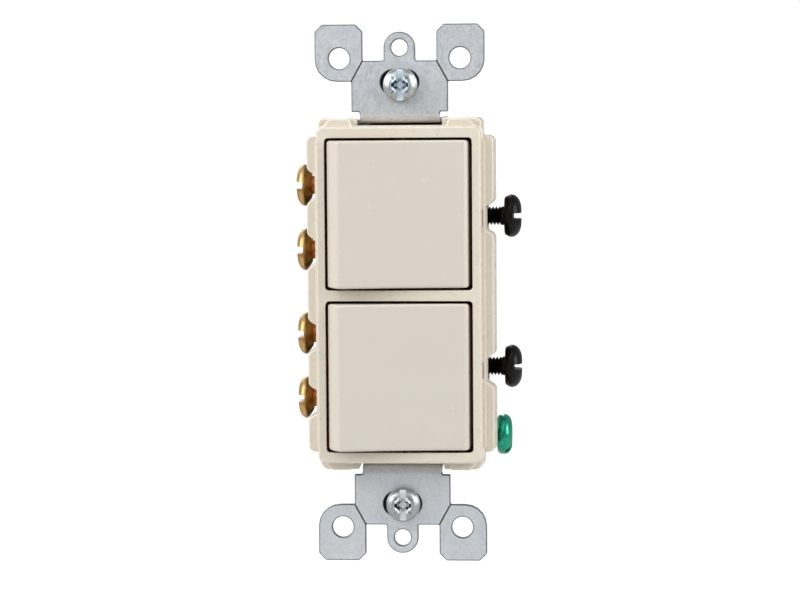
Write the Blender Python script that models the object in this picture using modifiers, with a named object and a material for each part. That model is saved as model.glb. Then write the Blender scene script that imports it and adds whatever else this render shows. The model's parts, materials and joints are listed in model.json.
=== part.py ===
"""Duplex rocker wall switch: two three-way rockers side by side on one strap, as working pieces.

Metres, +Z up the wall, rockers facing -Y, +X to the right.  The origin is the middle of the
device in the plane of the wall, where the rear faces of the strap's ears rest.  Each rocker
turns about an upright axis.  It is shown with its left side out and its right side pressed in.
"""

import math

import bmesh
import bpy
from mathutils import Matrix

MM = 0.001
GAP = 0.3 * MM

# How far a cutter or a joining shape reaches past the faces it works on.
REACH = 1 * MM

# Stands a flat mesh up, so that its Y becomes height and its Z faces the front.
FACING = (math.pi / 2, 0, 0)

# Strap: one sheet of steel, folded round the back of the housing.
STRAP_T = 1.2 * MM
BEND_INNER = 1.0 * MM
STRAP_HALF_LENGTH = 53.0 * MM
BAND_HALF_WIDTH = 7.9 * MM
PLATE_HALF_WIDTH = 9.5 * MM
SHOULDER_Z = 35.85 * MM
EAR_INNER_X = 7.3 * MM
EAR_OUTER_X = 16.7 * MM
EAR_ROOT_Z = 41.8 * MM
EAR_ROOT_R = 4.3 * MM
EAR_CHAMFER = 1.4 * MM
EAR_HOLE_X = 11.88 * MM
EAR_HOLE_Z = 46.33 * MM
EAR_HOLE_R = 2.08 * MM
NOTCH_Z = 45.86 * MM
TAB_HALF_WIDTH = 3.1 * MM
PLATE_SCREW_Z = 48.42 * MM
PLATE_SCREW_R = 1.63 * MM
BOX_SCREW_Z = 41.67 * MM
BOX_SLOT_HALF_LENGTH = 3.75 * MM
BOX_SLOT_R = 2.35 * MM
LEG_Z = 33.5 * MM

# Ground arm: part of the strap, from the back band forward along the right side.
ARM_OUTER_X = 17.4 * MM
ARM_TOP_Z = -22.0 * MM
ARM_NECK_Z = -27.0 * MM
ARM_FOOT_Z = -31.6 * MM
ARM_FRONT_Y = 3.4 * MM
ARM_FOOT_Y = 11.2 * MM

# Front cover.
BEZEL_HALF = (16.1 * MM, 33.0 * MM)
BEZEL_FRONT_Y = -6.8 * MM
BEZEL_CORNER_R = 1.5 * MM
SHELF_Y = -2.4 * MM
COVER_REAR_Y = 2.0 * MM
FLANGE_HALF = (18.75 * MM, 31.2 * MM)
FLANGE_CORNER_R = 1.2 * MM
END_HALF = (16.4 * MM, 34.7 * MM)
END_CORNER_R = 1.0 * MM
STRAP_NOTCH = (8.4 * MM, 33.2 * MM)
WINDOW_HALF_WIDTH = 14.43 * MM
WINDOW_Z = (1.075 * MM, 30.83 * MM)
WINDOW_LIP = 1.2 * MM
WINDOW_CORNER_R = 0.6 * MM
WINDOW_INNER_HALF_WIDTH = 15.4 * MM
SCREW_NOTCH_X = 16.8 * MM
SCREW_NOTCH_FLOOR = 2.2 * MM
SCREW_NOTCH_MOUTH = 3.55 * MM
BOSS_FRONT_Y = -4.3 * MM
BOSS_FOOT = (9.1 * MM, 15.2 * MM)
BOSS_CREST = (9.8 * MM, 13.6 * MM)
BOSS_CREST_Z = 34.6 * MM
PILOT_DEPTH = 3.3 * MM

# Rear housing.
HOUSING_FRONT_Y = COVER_REAR_Y + GAP
HOUSING_REAR_Y = 25.4 * MM
HOUSING_HALF_WIDTH = 16.1 * MM
HOUSING_END_HALF = (15.0 * MM, 34.1 * MM)
HOUSING_END_R = 1.6 * MM
HOUSING_STEP_Z = (29.7 * MM, 31.0 * MM)
CHAMBER_HALF_WIDTH = 13.4 * MM
CHAMBER_Z = (1.6 * MM, 30.2 * MM)
CHAMBER_FLOOR_Y = 17.15 * MM
WELL_X = (1.5 * MM, 12.0 * MM)
WELL_MARGIN = 1.6 * MM
WELL_FLOOR_Y = 23.4 * MM
HOUSING_CHAMFER = 0.8 * MM
SCREW_WAY = 7.5 * MM
HOUSING_SCREW_X = 12.2 * MM
HOUSING_SCREW_Z = 32.3 * MM

# Rockers: ends and side walls follow arcs about the pivot, so the gap stays even as they tilt.
ROCKER_Z = 15.95 * MM
PIVOT_Y = -0.8 * MM
ROCKER_TILT = math.radians(6.9)
ROCKER_R = 15.05 * MM
ROCKER_SKIRT_ANGLE = math.radians(8.0)
ROCKER_CREST_ANGLE = math.radians(33.2)
ROCKER_DISH = 0.8 * MM
ROCKER_HALF_LENGTH = 14.4 * MM
ROCKER_WALL = 1.5 * MM
ROCKER_CEILING = (12.2 * MM, 5.4 * MM)
TRUNNION_R = 1.35 * MM
TRUNNION_REACH = 1.35 * MM
TRUNNION_BOSS_R = 2.6 * MM
STEM_R = 2.7 * MM
STEM_TOP = -6.2 * MM
STEM_END = 5.8 * MM
STEM_BORE_R = 1.6 * MM
STEM_BORE_TOP = -3.5 * MM

# Plunger and its spring, both measured along the stem from the pivot.
PLUNGER_TIP = 12.0 * MM
PLUNGER_SHOULDER = 6.8 * MM
PLUNGER_TAIL = 1.5 * MM
SPRING_TURNS = 5
SPRING_R = 1.05 * MM
SPRING_WIRE_R = 0.2 * MM

# Contact arm: a see-saw under the plunger.
ARM_PIVOT_Y = 12.15 * MM
CONTACT_TILT = math.radians(7.0)
CONTACT_ARM_HALF = 9.9 * MM
CONTACT_ARM_T = 0.9 * MM
CONTACT_ARM_HALF_HEIGHT = 3.0 * MM
CONTACT_X = 8.3 * MM
CONTACT_R = 1.6 * MM
CONTACT_T = 0.9 * MM
FIXED_CONTACT_Y = 14.85 * MM

# Terminals: folded brass strip, with the side plates in pockets of the housing.
TERMINAL_T = 0.8 * MM
TERMINAL_BEND_INNER = 0.5 * MM
TERMINAL_PLATE_X = 15.4 * MM
TERMINAL_FRONT_Y = 3.0 * MM
TERMINAL_HOLE_R = 2.15 * MM
TRAVELLER_Y = CHAMBER_FLOOR_Y - GAP - TERMINAL_T / 2
COMMON_Y = 14.0 * MM
OUTER_TRAVELLER_Z = (17.7 * MM, 24.9 * MM)
INNER_TRAVELLER_Z = (4.8 * MM, 12.0 * MM)
COMMON_PLATE_Z = (11.4 * MM, 22.4 * MM)
COMMON_STRIP_Z = (19.6 * MM, 22.4 * MM)
COMMON_STEP_Y = 12.6 * MM
CONTACT_PAD_X = (6.0 * MM, 10.5 * MM)
CONTACT_PAD_Z = (14.2 * MM, 17.7 * MM)
CRADLE_HALF_WIDTH = 2.0 * MM
CRADLE_Z = 13.0 * MM
KNIFE_EDGE = (1.2 * MM, 5.5 * MM)

# Screws.
TERMINAL_SCREW_Y = 7.0 * MM
OUTER_SCREW_Z = 21.3 * MM
INNER_SCREW_Z = 8.4 * MM
COMMON_SCREW_Z = 15.0 * MM
GROUND_SCREW_Z = -28.7 * MM
TRAVELLER_SEAT_X = 18.2 * MM
COMMON_SEAT_X = 20.2 * MM
GROUND_SEAT_X = 18.6 * MM
TERMINAL_SHANK = (1.85 * MM, 6.4 * MM)
BOX_SHANK = (1.5 * MM, 19.0 * MM)
BOX_SCREW_X = 0.2 * MM
BOX_SCREW_DROPS = (("top", 1, 0.55 * MM), ("bottom", -1, 0.05 * MM))
HOUSING_SHANK = (1.0 * MM, 28.4 * MM)
RETAINER_R = 4.6 * MM
RETAINER_T = 0.8 * MM

# Screw heads: radius, radius at the seat, height.  Slots: width, depth, turn.
TRAVELLER_HEAD = (4.2 * MM, 2.6 * MM, 3.05 * MM)
TRAVELLER_SLOT = (1.3 * MM, 1.4 * MM, 0)
COMMON_HEAD = (4.25 * MM, 3.7 * MM, 3.3 * MM)
COMMON_SLOT = (1.2 * MM, 1.6 * MM, 0)
GROUND_HEAD = (4.0 * MM, 3.7 * MM, 2.85 * MM)
GROUND_SLOT = (1.3 * MM, 1.3 * MM, math.radians(55))
BOX_HEAD = (3.4 * MM, 3.2 * MM, 2.2 * MM)
BOX_SLOT = (1.4 * MM, 0.8 * MM, 0)
HOUSING_HEAD = (1.8 * MM, 1.7 * MM, 1.5 * MM)
HOUSING_SLOT = (0.6 * MM, 0.7 * MM, 0)

# Names and the side of the origin that each switch lies on.
SWITCHES = (("upper", 1), ("lower", -1))

MATERIALS = {
    "almond_plastic": ((0.70, 0.66, 0.56), 0.45, 0.0),
    "dark_plastic": ((0.05, 0.045, 0.04), 0.55, 0.0),
    "nylon": ((0.85, 0.84, 0.78), 0.5, 0.0),
    "galvanised_steel": ((0.62, 0.65, 0.68), 0.4, 1.0),
    "zinc_steel": ((0.75, 0.76, 0.77), 0.3, 1.0),
    "spring_steel": ((0.5, 0.5, 0.52), 0.35, 1.0),
    "brass": ((0.72, 0.52, 0.25), 0.3, 1.0),
    "copper": ((0.72, 0.42, 0.25), 0.3, 1.0),
    "silver": ((0.85, 0.85, 0.83), 0.3, 1.0),
    "black_steel": ((0.02, 0.02, 0.02), 0.35, 0.6),
    "green_steel": ((0.01, 0.30, 0.17), 0.3, 0.6),
    "fibre": ((0.16, 0.12, 0.10), 0.9, 0.0),
}

PARTS = "duplex_rocker_switch"
CUTTERS = "cutters"


def clear_scene():
    """Empty the scene and make one collection for the parts and one for the cutters."""
    for item in list(bpy.data.objects):
        bpy.data.objects.remove(item, do_unlink=True)
    for name in (PARTS, CUTTERS):
        bpy.context.scene.collection.children.link(bpy.data.collections.new(name))


def material(name):
    """The named Principled material, made the first time it is asked for."""
    if name in bpy.data.materials:
        return bpy.data.materials[name]
    colour, roughness, metallic = MATERIALS[name]
    made = bpy.data.materials.new(name)
    made.use_nodes = True
    shader = made.node_tree.nodes["Principled BSDF"]
    shader.inputs["Base Color"].default_value = (*colour, 1.0)
    shader.inputs["Roughness"].default_value = roughness
    shader.inputs["Metallic"].default_value = metallic
    made.diffuse_color = (*colour, 1.0)
    return made


def place(item, collection, location, rotation, parent):
    """Link an object to its collection, and set where it stands."""
    bpy.data.collections[collection].objects.link(item)
    item.location = location
    item.rotation_euler = rotation
    item.parent = parent
    return item


def piece(name, data, finish, location=(0, 0, 0), rotation=(0, 0, 0), parent=None):
    """A sub-part of the switch."""
    data.materials.append(material(finish))
    return place(bpy.data.objects.new(name, data), PARTS, location, rotation, parent)


def tool(name, mesh, location=(0, 0, 0), rotation=(0, 0, 0), parent=None):
    """A hidden shape that cuts or joins a sub-part."""
    item = place(bpy.data.objects.new(name, mesh), CUTTERS, location, rotation, parent)
    item.hide_render = True
    item.display_type = "WIRE"
    return item


def pivot(name, location, angle):
    """An empty on a hinge's axis, turned to the angle at rest."""
    item = bpy.data.objects.new(name, None)
    return place(item, PARTS, location, (0, 0, angle), None)


def boolean(target, operation, *tools):
    """Cut or join a sub-part with each hidden shape in turn."""
    for shape in tools:
        step = target.modifiers.new(shape.name, "BOOLEAN")
        step.operation = operation
        step.solver = "EXACT"
        step.object = shape


def arc(centre, radius, start, end, steps):
    """Points along an arc, angles in degrees."""
    angles = (math.radians(start + (end - start) * i / steps) for i in range(steps + 1))
    return [(centre[0] + radius * math.cos(a), centre[1] + radius * math.sin(a)) for a in angles]


def circle(centre, radius, sides):
    """A closed ring of points."""
    return arc(centre, radius, 0, 360 - 360 / sides, sides - 1)


def rounded_rectangle(half_width, half_height, radius, centre=(0, 0), steps=3):
    """A rectangle with round corners."""
    points = []
    corners = ((1, 1, 0), (-1, 1, 90), (-1, -1, 180), (1, -1, 270))
    for across, up, start in corners:
        middle = (
            centre[0] + across * (half_width - radius),
            centre[1] + up * (half_height - radius),
        )
        points += arc(middle, radius, start, start + 90, steps)
    return points


def four_quarters(quarter):
    """Close an outline whose first quarter runs from the +X axis to the +Y axis."""
    flipped = quarter[::-1]
    return (
        quarter
        + [(-x, y) for x, y in flipped]
        + [(-x, -y) for x, y in quarter]
        + [(x, -y) for x, y in flipped]
    )


def weld(mesh, whole_caps):
    """Join the loose caps of a filled curve, and face every side out."""
    work = bmesh.new()
    work.from_mesh(mesh)
    bmesh.ops.remove_doubles(work, verts=work.verts, dist=0.001 * MM)
    if whole_caps:
        flat = math.radians(0.3)
        bmesh.ops.dissolve_limit(work, angle_limit=flat, verts=work.verts, edges=work.edges)
    bmesh.ops.recalc_face_normals(work, faces=work.faces)
    work.to_mesh(mesh)
    work.free()


def plate(outlines, thickness):
    """A flat plate in the XY plane: the first outline less the others, half above and half below."""
    curve = bpy.data.curves.new("outline", "CURVE")
    curve.dimensions = "2D"
    curve.fill_mode = "BOTH"
    curve.extrude = thickness / 2
    for outline in outlines:
        spline = curve.splines.new("POLY")
        spline.points.add(len(outline) - 1)
        for point, (x, y) in zip(spline.points, outline):
            point.co = (x, y, 0, 1)
        spline.use_cyclic_u = True
    holder = bpy.data.objects.new("outline", curve)
    bpy.context.scene.collection.objects.link(holder)
    solid = holder.evaluated_get(bpy.context.evaluated_depsgraph_get())
    mesh = bpy.data.meshes.new_from_object(solid)
    bpy.data.objects.remove(holder)
    weld(mesh, whole_caps=len(outlines) == 1)
    return mesh


def box(low, high):
    """A box mesh between two corners."""
    size = [b - a for a, b in zip(low, high)]
    middle = [(a + b) / 2 for a, b in zip(low, high)]
    matrix = Matrix.Translation(middle) @ Matrix.Diagonal((*size, 1))
    work = bmesh.new()
    bmesh.ops.create_cube(work, size=1, matrix=matrix)
    mesh = bpy.data.meshes.new("box")
    work.to_mesh(mesh)
    work.free()
    return mesh


def cylinder(radius, length, sides=16):
    """An upright cylinder mesh, centred."""
    work = bmesh.new()
    bmesh.ops.create_cone(
        work, cap_ends=True, segments=sides, radius1=radius, radius2=radius, depth=length
    )
    mesh = bpy.data.meshes.new("cylinder")
    work.to_mesh(mesh)
    work.free()
    mesh.shade_smooth()
    mesh.set_sharp_from_angle(angle=math.radians(40))
    return mesh


def profile(points):
    """An open profile in the XZ plane, for turning about Z."""
    mesh = bpy.data.meshes.new("profile")
    edges = [(i, i + 1) for i in range(len(points) - 1)]
    mesh.from_pydata([(r, 0, z) for r, z in points], edges, [])
    return mesh


def turn(item, sides):
    """Spin a piece's profile about its own Z axis."""
    step = item.modifiers.new("turn", "SCREW")
    step.angle = 2 * math.pi
    step.steps = sides
    step.render_steps = sides
    step.use_merge_vertices = True
    step.merge_threshold = 0.01 * MM


def bend(mesh, frame, start, radius, span, steps=3):
    """Fold a sheet by a right angle towards +Z.

    In frame, the sheet's length runs along X and its middle plane is Z = 0.  The fold begins at
    start, follows radius to the middle plane, and takes what lies beyond start and within span,
    a range of Y.
    """
    arc_length = radius * math.pi / 2
    work = bmesh.new()
    work.from_mesh(mesh)
    bmesh.ops.transform(work, matrix=frame, verts=work.verts)
    for step in range(steps + 1):
        geometry = work.verts[:] + work.edges[:] + work.faces[:]
        place_x = start + arc_length * step / steps
        bmesh.ops.bisect_plane(work, geom=geometry, plane_co=(place_x, 0, 0), plane_no=(1, 0, 0))
    for vertex in work.verts:
        x, y, z = vertex.co
        if x <= start or not span[0] <= y <= span[1]:
            continue
        angle = min((x - start) / radius, math.pi / 2)
        rest = max(x - start - arc_length, 0)
        vertex.co.x = start + (radius - z) * math.sin(angle)
        vertex.co.z = radius - (radius - z) * math.cos(angle) + rest
    bmesh.ops.transform(work, matrix=frame.inverted(), verts=work.verts)
    work.to_mesh(mesh)
    work.free()


def strap_blank(arm_reach, ear_shift):
    """Outline of the strap before it is folded, with Y along its length."""

    def up(z):
        return z + ear_shift

    quarter = [
        (BAND_HALF_WIDTH, up(SHOULDER_Z)),
        (PLATE_HALF_WIDTH, up(SHOULDER_Z)),
        (PLATE_HALF_WIDTH, up(EAR_ROOT_Z)),
        *arc((EAR_OUTER_X - EAR_ROOT_R, up(EAR_ROOT_Z + EAR_ROOT_R)), EAR_ROOT_R, -90, 0, 5),
        (EAR_OUTER_X, up(STRAP_HALF_LENGTH - EAR_CHAMFER)),
        (EAR_OUTER_X - EAR_CHAMFER, up(STRAP_HALF_LENGTH)),
        (EAR_INNER_X + EAR_CHAMFER, up(STRAP_HALF_LENGTH)),
        (EAR_INNER_X, up(STRAP_HALF_LENGTH - EAR_CHAMFER)),
        (EAR_INNER_X, up(NOTCH_Z)),
        (TAB_HALF_WIDTH, up(NOTCH_Z)),
        *arc((0, up(PLATE_SCREW_Z)), TAB_HALF_WIDTH, 0, 75, 5),
    ]
    ground_arm = [
        (BAND_HALF_WIDTH, ARM_NECK_Z),
        (arm_reach - (ARM_FOOT_Y - ARM_FRONT_Y), ARM_NECK_Z),
        (arm_reach - (ARM_FOOT_Y - ARM_FRONT_Y), ARM_FOOT_Z),
        (arm_reach, ARM_FOOT_Z),
        (arm_reach, ARM_TOP_Z),
        (BAND_HALF_WIDTH, ARM_TOP_Z),
    ]
    return four_quarters(quarter) + ground_arm


def strap():
    """Steel strap: ears and plates in front, legs down the ends, a band and the ground arm behind."""
    radius = BEND_INNER + STRAP_T / 2
    arc_length = radius * math.pi / 2
    leg_middle = LEG_Z + STRAP_T / 2
    band_y = HOUSING_REAR_Y + GAP + STRAP_T / 2
    leg_start = leg_middle - radius
    leg = (band_y - radius) - (-STRAP_T / 2 + radius)
    ear_start = leg_start + arc_length + leg
    ear_shift = ear_start + arc_length - (leg_middle + radius)
    arm_start = ARM_OUTER_X - STRAP_T / 2 - radius
    arm_zero = arm_start + arc_length + band_y - radius
    holes = [circle((arm_zero - TERMINAL_SCREW_Y, GROUND_SCREW_Z), TERMINAL_HOLE_R, 16)]
    for end in (1, -1):
        slot_x = BOX_SLOT_HALF_LENGTH - BOX_SLOT_R
        slot_z = end * (BOX_SCREW_Z + ear_shift)
        holes.append(
            arc((slot_x, slot_z), BOX_SLOT_R, -90, 90, 6)
            + arc((-slot_x, slot_z), BOX_SLOT_R, 90, 270, 6)
        )
        holes.append(circle((0, end * (PLATE_SCREW_Z + ear_shift)), PLATE_SCREW_R, 16))
        for side in (1, -1):
            hole_z = end * (EAR_HOLE_Z + ear_shift)
            holes.append(circle((side * EAR_HOLE_X, hole_z), EAR_HOLE_R, 16))
    mesh = plate([strap_blank(arm_zero - ARM_FRONT_Y, ear_shift), *holes], STRAP_T)
    everywhere = (-1, 1)
    bend(mesh, Matrix(), arm_start, radius, (ARM_FOOT_Z - GAP, ARM_TOP_Z + GAP))
    for turn_by in (-90, 90):
        lengthwise = Matrix.Rotation(math.radians(turn_by), 4, "Z")
        away = Matrix.Rotation(math.pi, 4, "X") @ lengthwise
        bend(mesh, away, ear_start, radius, everywhere)
        bend(mesh, lengthwise, leg_start, radius, everywhere)
    divide(mesh, ear_shift)
    return piece(
        "strap", mesh, "galvanised_steel", (0, band_y, 0), (math.pi / 2, 0, 0)
    )


def divide(mesh, ear_shift):
    """Give the ears and the tabs faces of their own, apart from the middle of each plate."""
    work = bmesh.new()
    work.from_mesh(mesh)
    lines = [((side * PLATE_HALF_WIDTH, 0, 0), (1, 0, 0)) for side in (1, -1)]
    lines += [((0, end * NOTCH_Z, 0), (0, 1, 0)) for end in (1, -1)]
    for place_at, normal in lines:
        geometry = work.verts[:] + work.edges[:] + work.faces[:]
        bmesh.ops.bisect_plane(work, geom=geometry, plane_co=place_at, plane_no=normal)
    work.to_mesh(mesh)
    work.free()


def slab(outline, front, rear):
    """A plate whose outline is in X and Z, between two depths: its mesh and its location."""
    mesh = plate(outline, rear - front)
    return mesh, (0, (front + rear) / 2, 0)


def front_cover():
    """Moulded cover: bezel, side flange, ends with screw bosses, and the two rocker windows."""
    outline = rounded_rectangle(*BEZEL_HALF, BEZEL_CORNER_R)
    mesh, location = slab([outline], BEZEL_FRONT_Y, 0)
    cover = piece("front_cover", mesh, "almond_plastic", location, FACING)
    mesh, location = slab([shelf_outline()], SHELF_Y, COVER_REAR_Y)
    boolean(cover, "UNION", tool("cover_flange", mesh, location, FACING))
    for end in (1, -1):
        for side in (1, -1):
            boolean(cover, "UNION", cover_boss(side, end))
    for _, sign in SWITCHES:
        boolean(cover, "DIFFERENCE", *window(sign))
    for side, heights in ((-1, (OUTER_SCREW_Z, INNER_SCREW_Z)), (1, (COMMON_SCREW_Z,))):
        for height in heights:
            for sign in (1, -1):
                boolean(cover, "DIFFERENCE", screw_notch(side, sign * height))
    trunnion_bore = cylinder(TRUNNION_R + GAP, 2 * (WINDOW_Z[1] + TRUNNION_REACH))
    boolean(cover, "DIFFERENCE", tool("trunnion_bore", trunnion_bore, (0, PIVOT_Y, 0)))
    for x, z in housing_screw_places():
        depth = COVER_REAR_Y + REACH + PILOT_DEPTH
        location = (x, COVER_REAR_Y + REACH - depth / 2, z)
        pilot = cylinder(HOUSING_SHANK[0] + GAP, depth, 12)
        boolean(cover, "DIFFERENCE", tool("screw_pilot", pilot, location, FACING))
    return cover


def shelf_outline():
    """Outline of the flange and the ends behind the bezel."""
    flange_x = FLANGE_HALF[0] - FLANGE_CORNER_R
    flange_z = FLANGE_HALF[1] - FLANGE_CORNER_R
    end_x = END_HALF[0] - END_CORNER_R
    end_z = END_HALF[1] - END_CORNER_R
    quarter = [
        *arc((flange_x, flange_z), FLANGE_CORNER_R, 0, 90, 3),
        (END_HALF[0], FLANGE_HALF[1] + GAP),
        *arc((end_x, end_z), END_CORNER_R, 0, 90, 3),
        (STRAP_NOTCH[0], END_HALF[1]),
        STRAP_NOTCH,
    ]
    return four_quarters(quarter)


def cover_boss(side, end):
    """A block on the cover's end that takes a housing screw."""
    foot_z = end * (BEZEL_HALF[1] - REACH)
    outline = [
        (side * BOSS_FOOT[0], foot_z),
        (side * BOSS_FOOT[1], foot_z),
        (side * BOSS_CREST[1], end * BOSS_CREST_Z),
        (side * BOSS_CREST[0], end * BOSS_CREST_Z),
    ]
    mesh, location = slab([outline], BOSS_FRONT_Y, -REACH)
    return tool("cover_boss", mesh, location, FACING)


def window(sign):
    """A window for one rocker, and the wider room behind its lip."""
    centre = (0, sign * sum(WINDOW_Z) / 2)
    half = (WINDOW_Z[1] - WINDOW_Z[0]) / 2
    lip_y = BEZEL_FRONT_Y + WINDOW_LIP
    opening = rounded_rectangle(WINDOW_HALF_WIDTH, half, WINDOW_CORNER_R, centre, 2)
    opening_mesh, opening_at = slab([opening], BEZEL_FRONT_Y - REACH, lip_y + REACH / 2)
    room = rounded_rectangle(WINDOW_INNER_HALF_WIDTH, half, WINDOW_CORNER_R / 2, centre, 1)
    room_mesh, room_at = slab([room], lip_y, COVER_REAR_Y + REACH)
    return (
        tool("cover_window", opening_mesh, opening_at, FACING),
        tool("cover_room", room_mesh, room_at, FACING),
    )


def screw_notch(side, height):
    """A slant-sided notch through the flange, beside a terminal screw."""
    slope = (SCREW_NOTCH_MOUTH - SCREW_NOTCH_FLOOR) / (FLANGE_HALF[0] - SCREW_NOTCH_X)
    outer = FLANGE_HALF[0] + REACH
    outer_half = SCREW_NOTCH_MOUTH + slope * REACH
    outline = [
        (side * SCREW_NOTCH_X, height - SCREW_NOTCH_FLOOR),
        (side * outer, height - outer_half),
        (side * outer, height + outer_half),
        (side * SCREW_NOTCH_X, height + SCREW_NOTCH_FLOOR),
    ]
    mesh, location = slab([outline], SHELF_Y - REACH, COVER_REAR_Y + REACH)
    return tool("screw_notch", mesh, location, FACING)


def housing_screw_places():
    """X and Z of the four screws that hold the housing to the cover."""
    return [
        (side * HOUSING_SCREW_X, end * HOUSING_SCREW_Z) for end in (1, -1) for side in (-1, 1)
    ]


def rear_housing():
    """Moulded body: two chambers open to the front, with pockets for the terminals."""
    end_x = HOUSING_END_HALF[0] - HOUSING_END_R
    end_z = HOUSING_END_HALF[1] - HOUSING_END_R
    quarter = [
        (HOUSING_HALF_WIDTH, HOUSING_STEP_Z[0]),
        (HOUSING_END_HALF[0], HOUSING_STEP_Z[1]),
        *arc((end_x, end_z), HOUSING_END_R, 0, 90, 3),
        (STRAP_NOTCH[0], HOUSING_END_HALF[1]),
        STRAP_NOTCH,
    ]
    mesh, location = slab([four_quarters(quarter)], HOUSING_FRONT_Y, HOUSING_REAR_Y)
    chamfer_rear(mesh)
    housing = piece("rear_housing", mesh, "dark_plastic", location, FACING)
    for name, sign in SWITCHES:
        low, high = sorted(sign * z for z in CHAMBER_Z)
        room = box(
            (-CHAMBER_HALF_WIDTH, HOUSING_FRONT_Y - REACH, low),
            (CHAMBER_HALF_WIDTH, CHAMBER_FLOOR_Y, high),
        )
        boolean(housing, "DIFFERENCE", tool("chamber_" + name, room))
        for side in (1, -1):
            near, far = sorted(side * x for x in WELL_X)
            well = box(
                (near, CHAMBER_FLOOR_Y - REACH, low + WELL_MARGIN),
                (far, WELL_FLOOR_Y, high - WELL_MARGIN),
            )
            boolean(housing, "DIFFERENCE", tool("well_" + name, well))
        pocket(housing, -1, sign, OUTER_TRAVELLER_Z, OUTER_TRAVELLER_Z, TRAVELLER_Y)
        pocket(housing, -1, sign, INNER_TRAVELLER_Z, INNER_TRAVELLER_Z, TRAVELLER_Y)
        pocket(housing, 1, sign, COMMON_PLATE_Z, COMMON_STRIP_Z, COMMON_Y)
        for side, height in (
            (-1, OUTER_SCREW_Z),
            (-1, INNER_SCREW_Z),
            (1, COMMON_SCREW_Z),
        ):
            screw_way(housing, side, sign * height)
    screw_way(housing, 1, GROUND_SCREW_Z)
    recess = box(
        (ARM_OUTER_X - STRAP_T - GAP, HOUSING_FRONT_Y - REACH, -FLANGE_HALF[1] - REACH),
        (HOUSING_HALF_WIDTH + REACH, HOUSING_REAR_Y + REACH, ARM_TOP_Z + GAP),
    )
    boolean(housing, "DIFFERENCE", tool("ground_arm_recess", recess))
    for x, z in housing_screw_places():
        depth = HOUSING_REAR_Y - HOUSING_FRONT_Y + 2 * REACH
        location = (x, (HOUSING_REAR_Y + HOUSING_FRONT_Y) / 2, z)
        hole = cylinder(HOUSING_SHANK[0] + GAP, depth, 12)
        boolean(housing, "DIFFERENCE", tool("screw_hole", hole, location, FACING))
    return housing


def chamfer_rear(mesh):
    """Chamfer the outline at the housing's back, which is the lowest side of its flat mesh."""
    work = bmesh.new()
    work.from_mesh(mesh)
    lowest = min(v.co.z for v in work.verts)
    rim = [
        e
        for e in work.edges
        if all(v.co.z < lowest + GAP for v in e.verts)
        and any(abs(f.normal.z) < 0.5 for f in e.link_faces)
    ]
    bmesh.ops.bevel(work, geom=rim, offset=HOUSING_CHAMFER, segments=1, affect="EDGES")
    work.to_mesh(mesh)
    work.free()


def pocket(housing, side, sign, plate_z, strip_z, strip_y):
    """Room for one terminal: a pocket outside the wall, and a slot through it for the strip."""
    outside = HOUSING_HALF_WIDTH + REACH
    floor_x = TERMINAL_PLATE_X - TERMINAL_T / 2 - GAP
    rear = strip_y + TERMINAL_T / 2 + GAP
    slot_front = strip_y - TERMINAL_T / 2 - GAP
    shapes = (
        (floor_x, outside, HOUSING_FRONT_Y - REACH, plate_z),
        (CHAMBER_HALF_WIDTH - REACH, floor_x + GAP, slot_front, strip_z),
    )
    for near, far, front, heights in shapes:
        x = sorted((side * near, side * far))
        z = sorted((sign * (heights[0] - GAP), sign * (heights[1] + GAP)))
        shape = box((x[0], front, z[0]), (x[1], rear, z[1]))
        boolean(housing, "DIFFERENCE", tool("terminal_pocket", shape))


def screw_way(housing, side, height):
    """Clearance through the side wall for the end of a terminal screw."""
    middle = (CHAMBER_HALF_WIDTH + HOUSING_HALF_WIDTH) / 2
    hole = cylinder(TERMINAL_HOLE_R + GAP / 2, SCREW_WAY)
    location = (side * middle, TERMINAL_SCREW_Y, height)
    boolean(
        housing, "DIFFERENCE", tool("screw_way", hole, location, (0, math.pi / 2, 0))
    )


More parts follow.
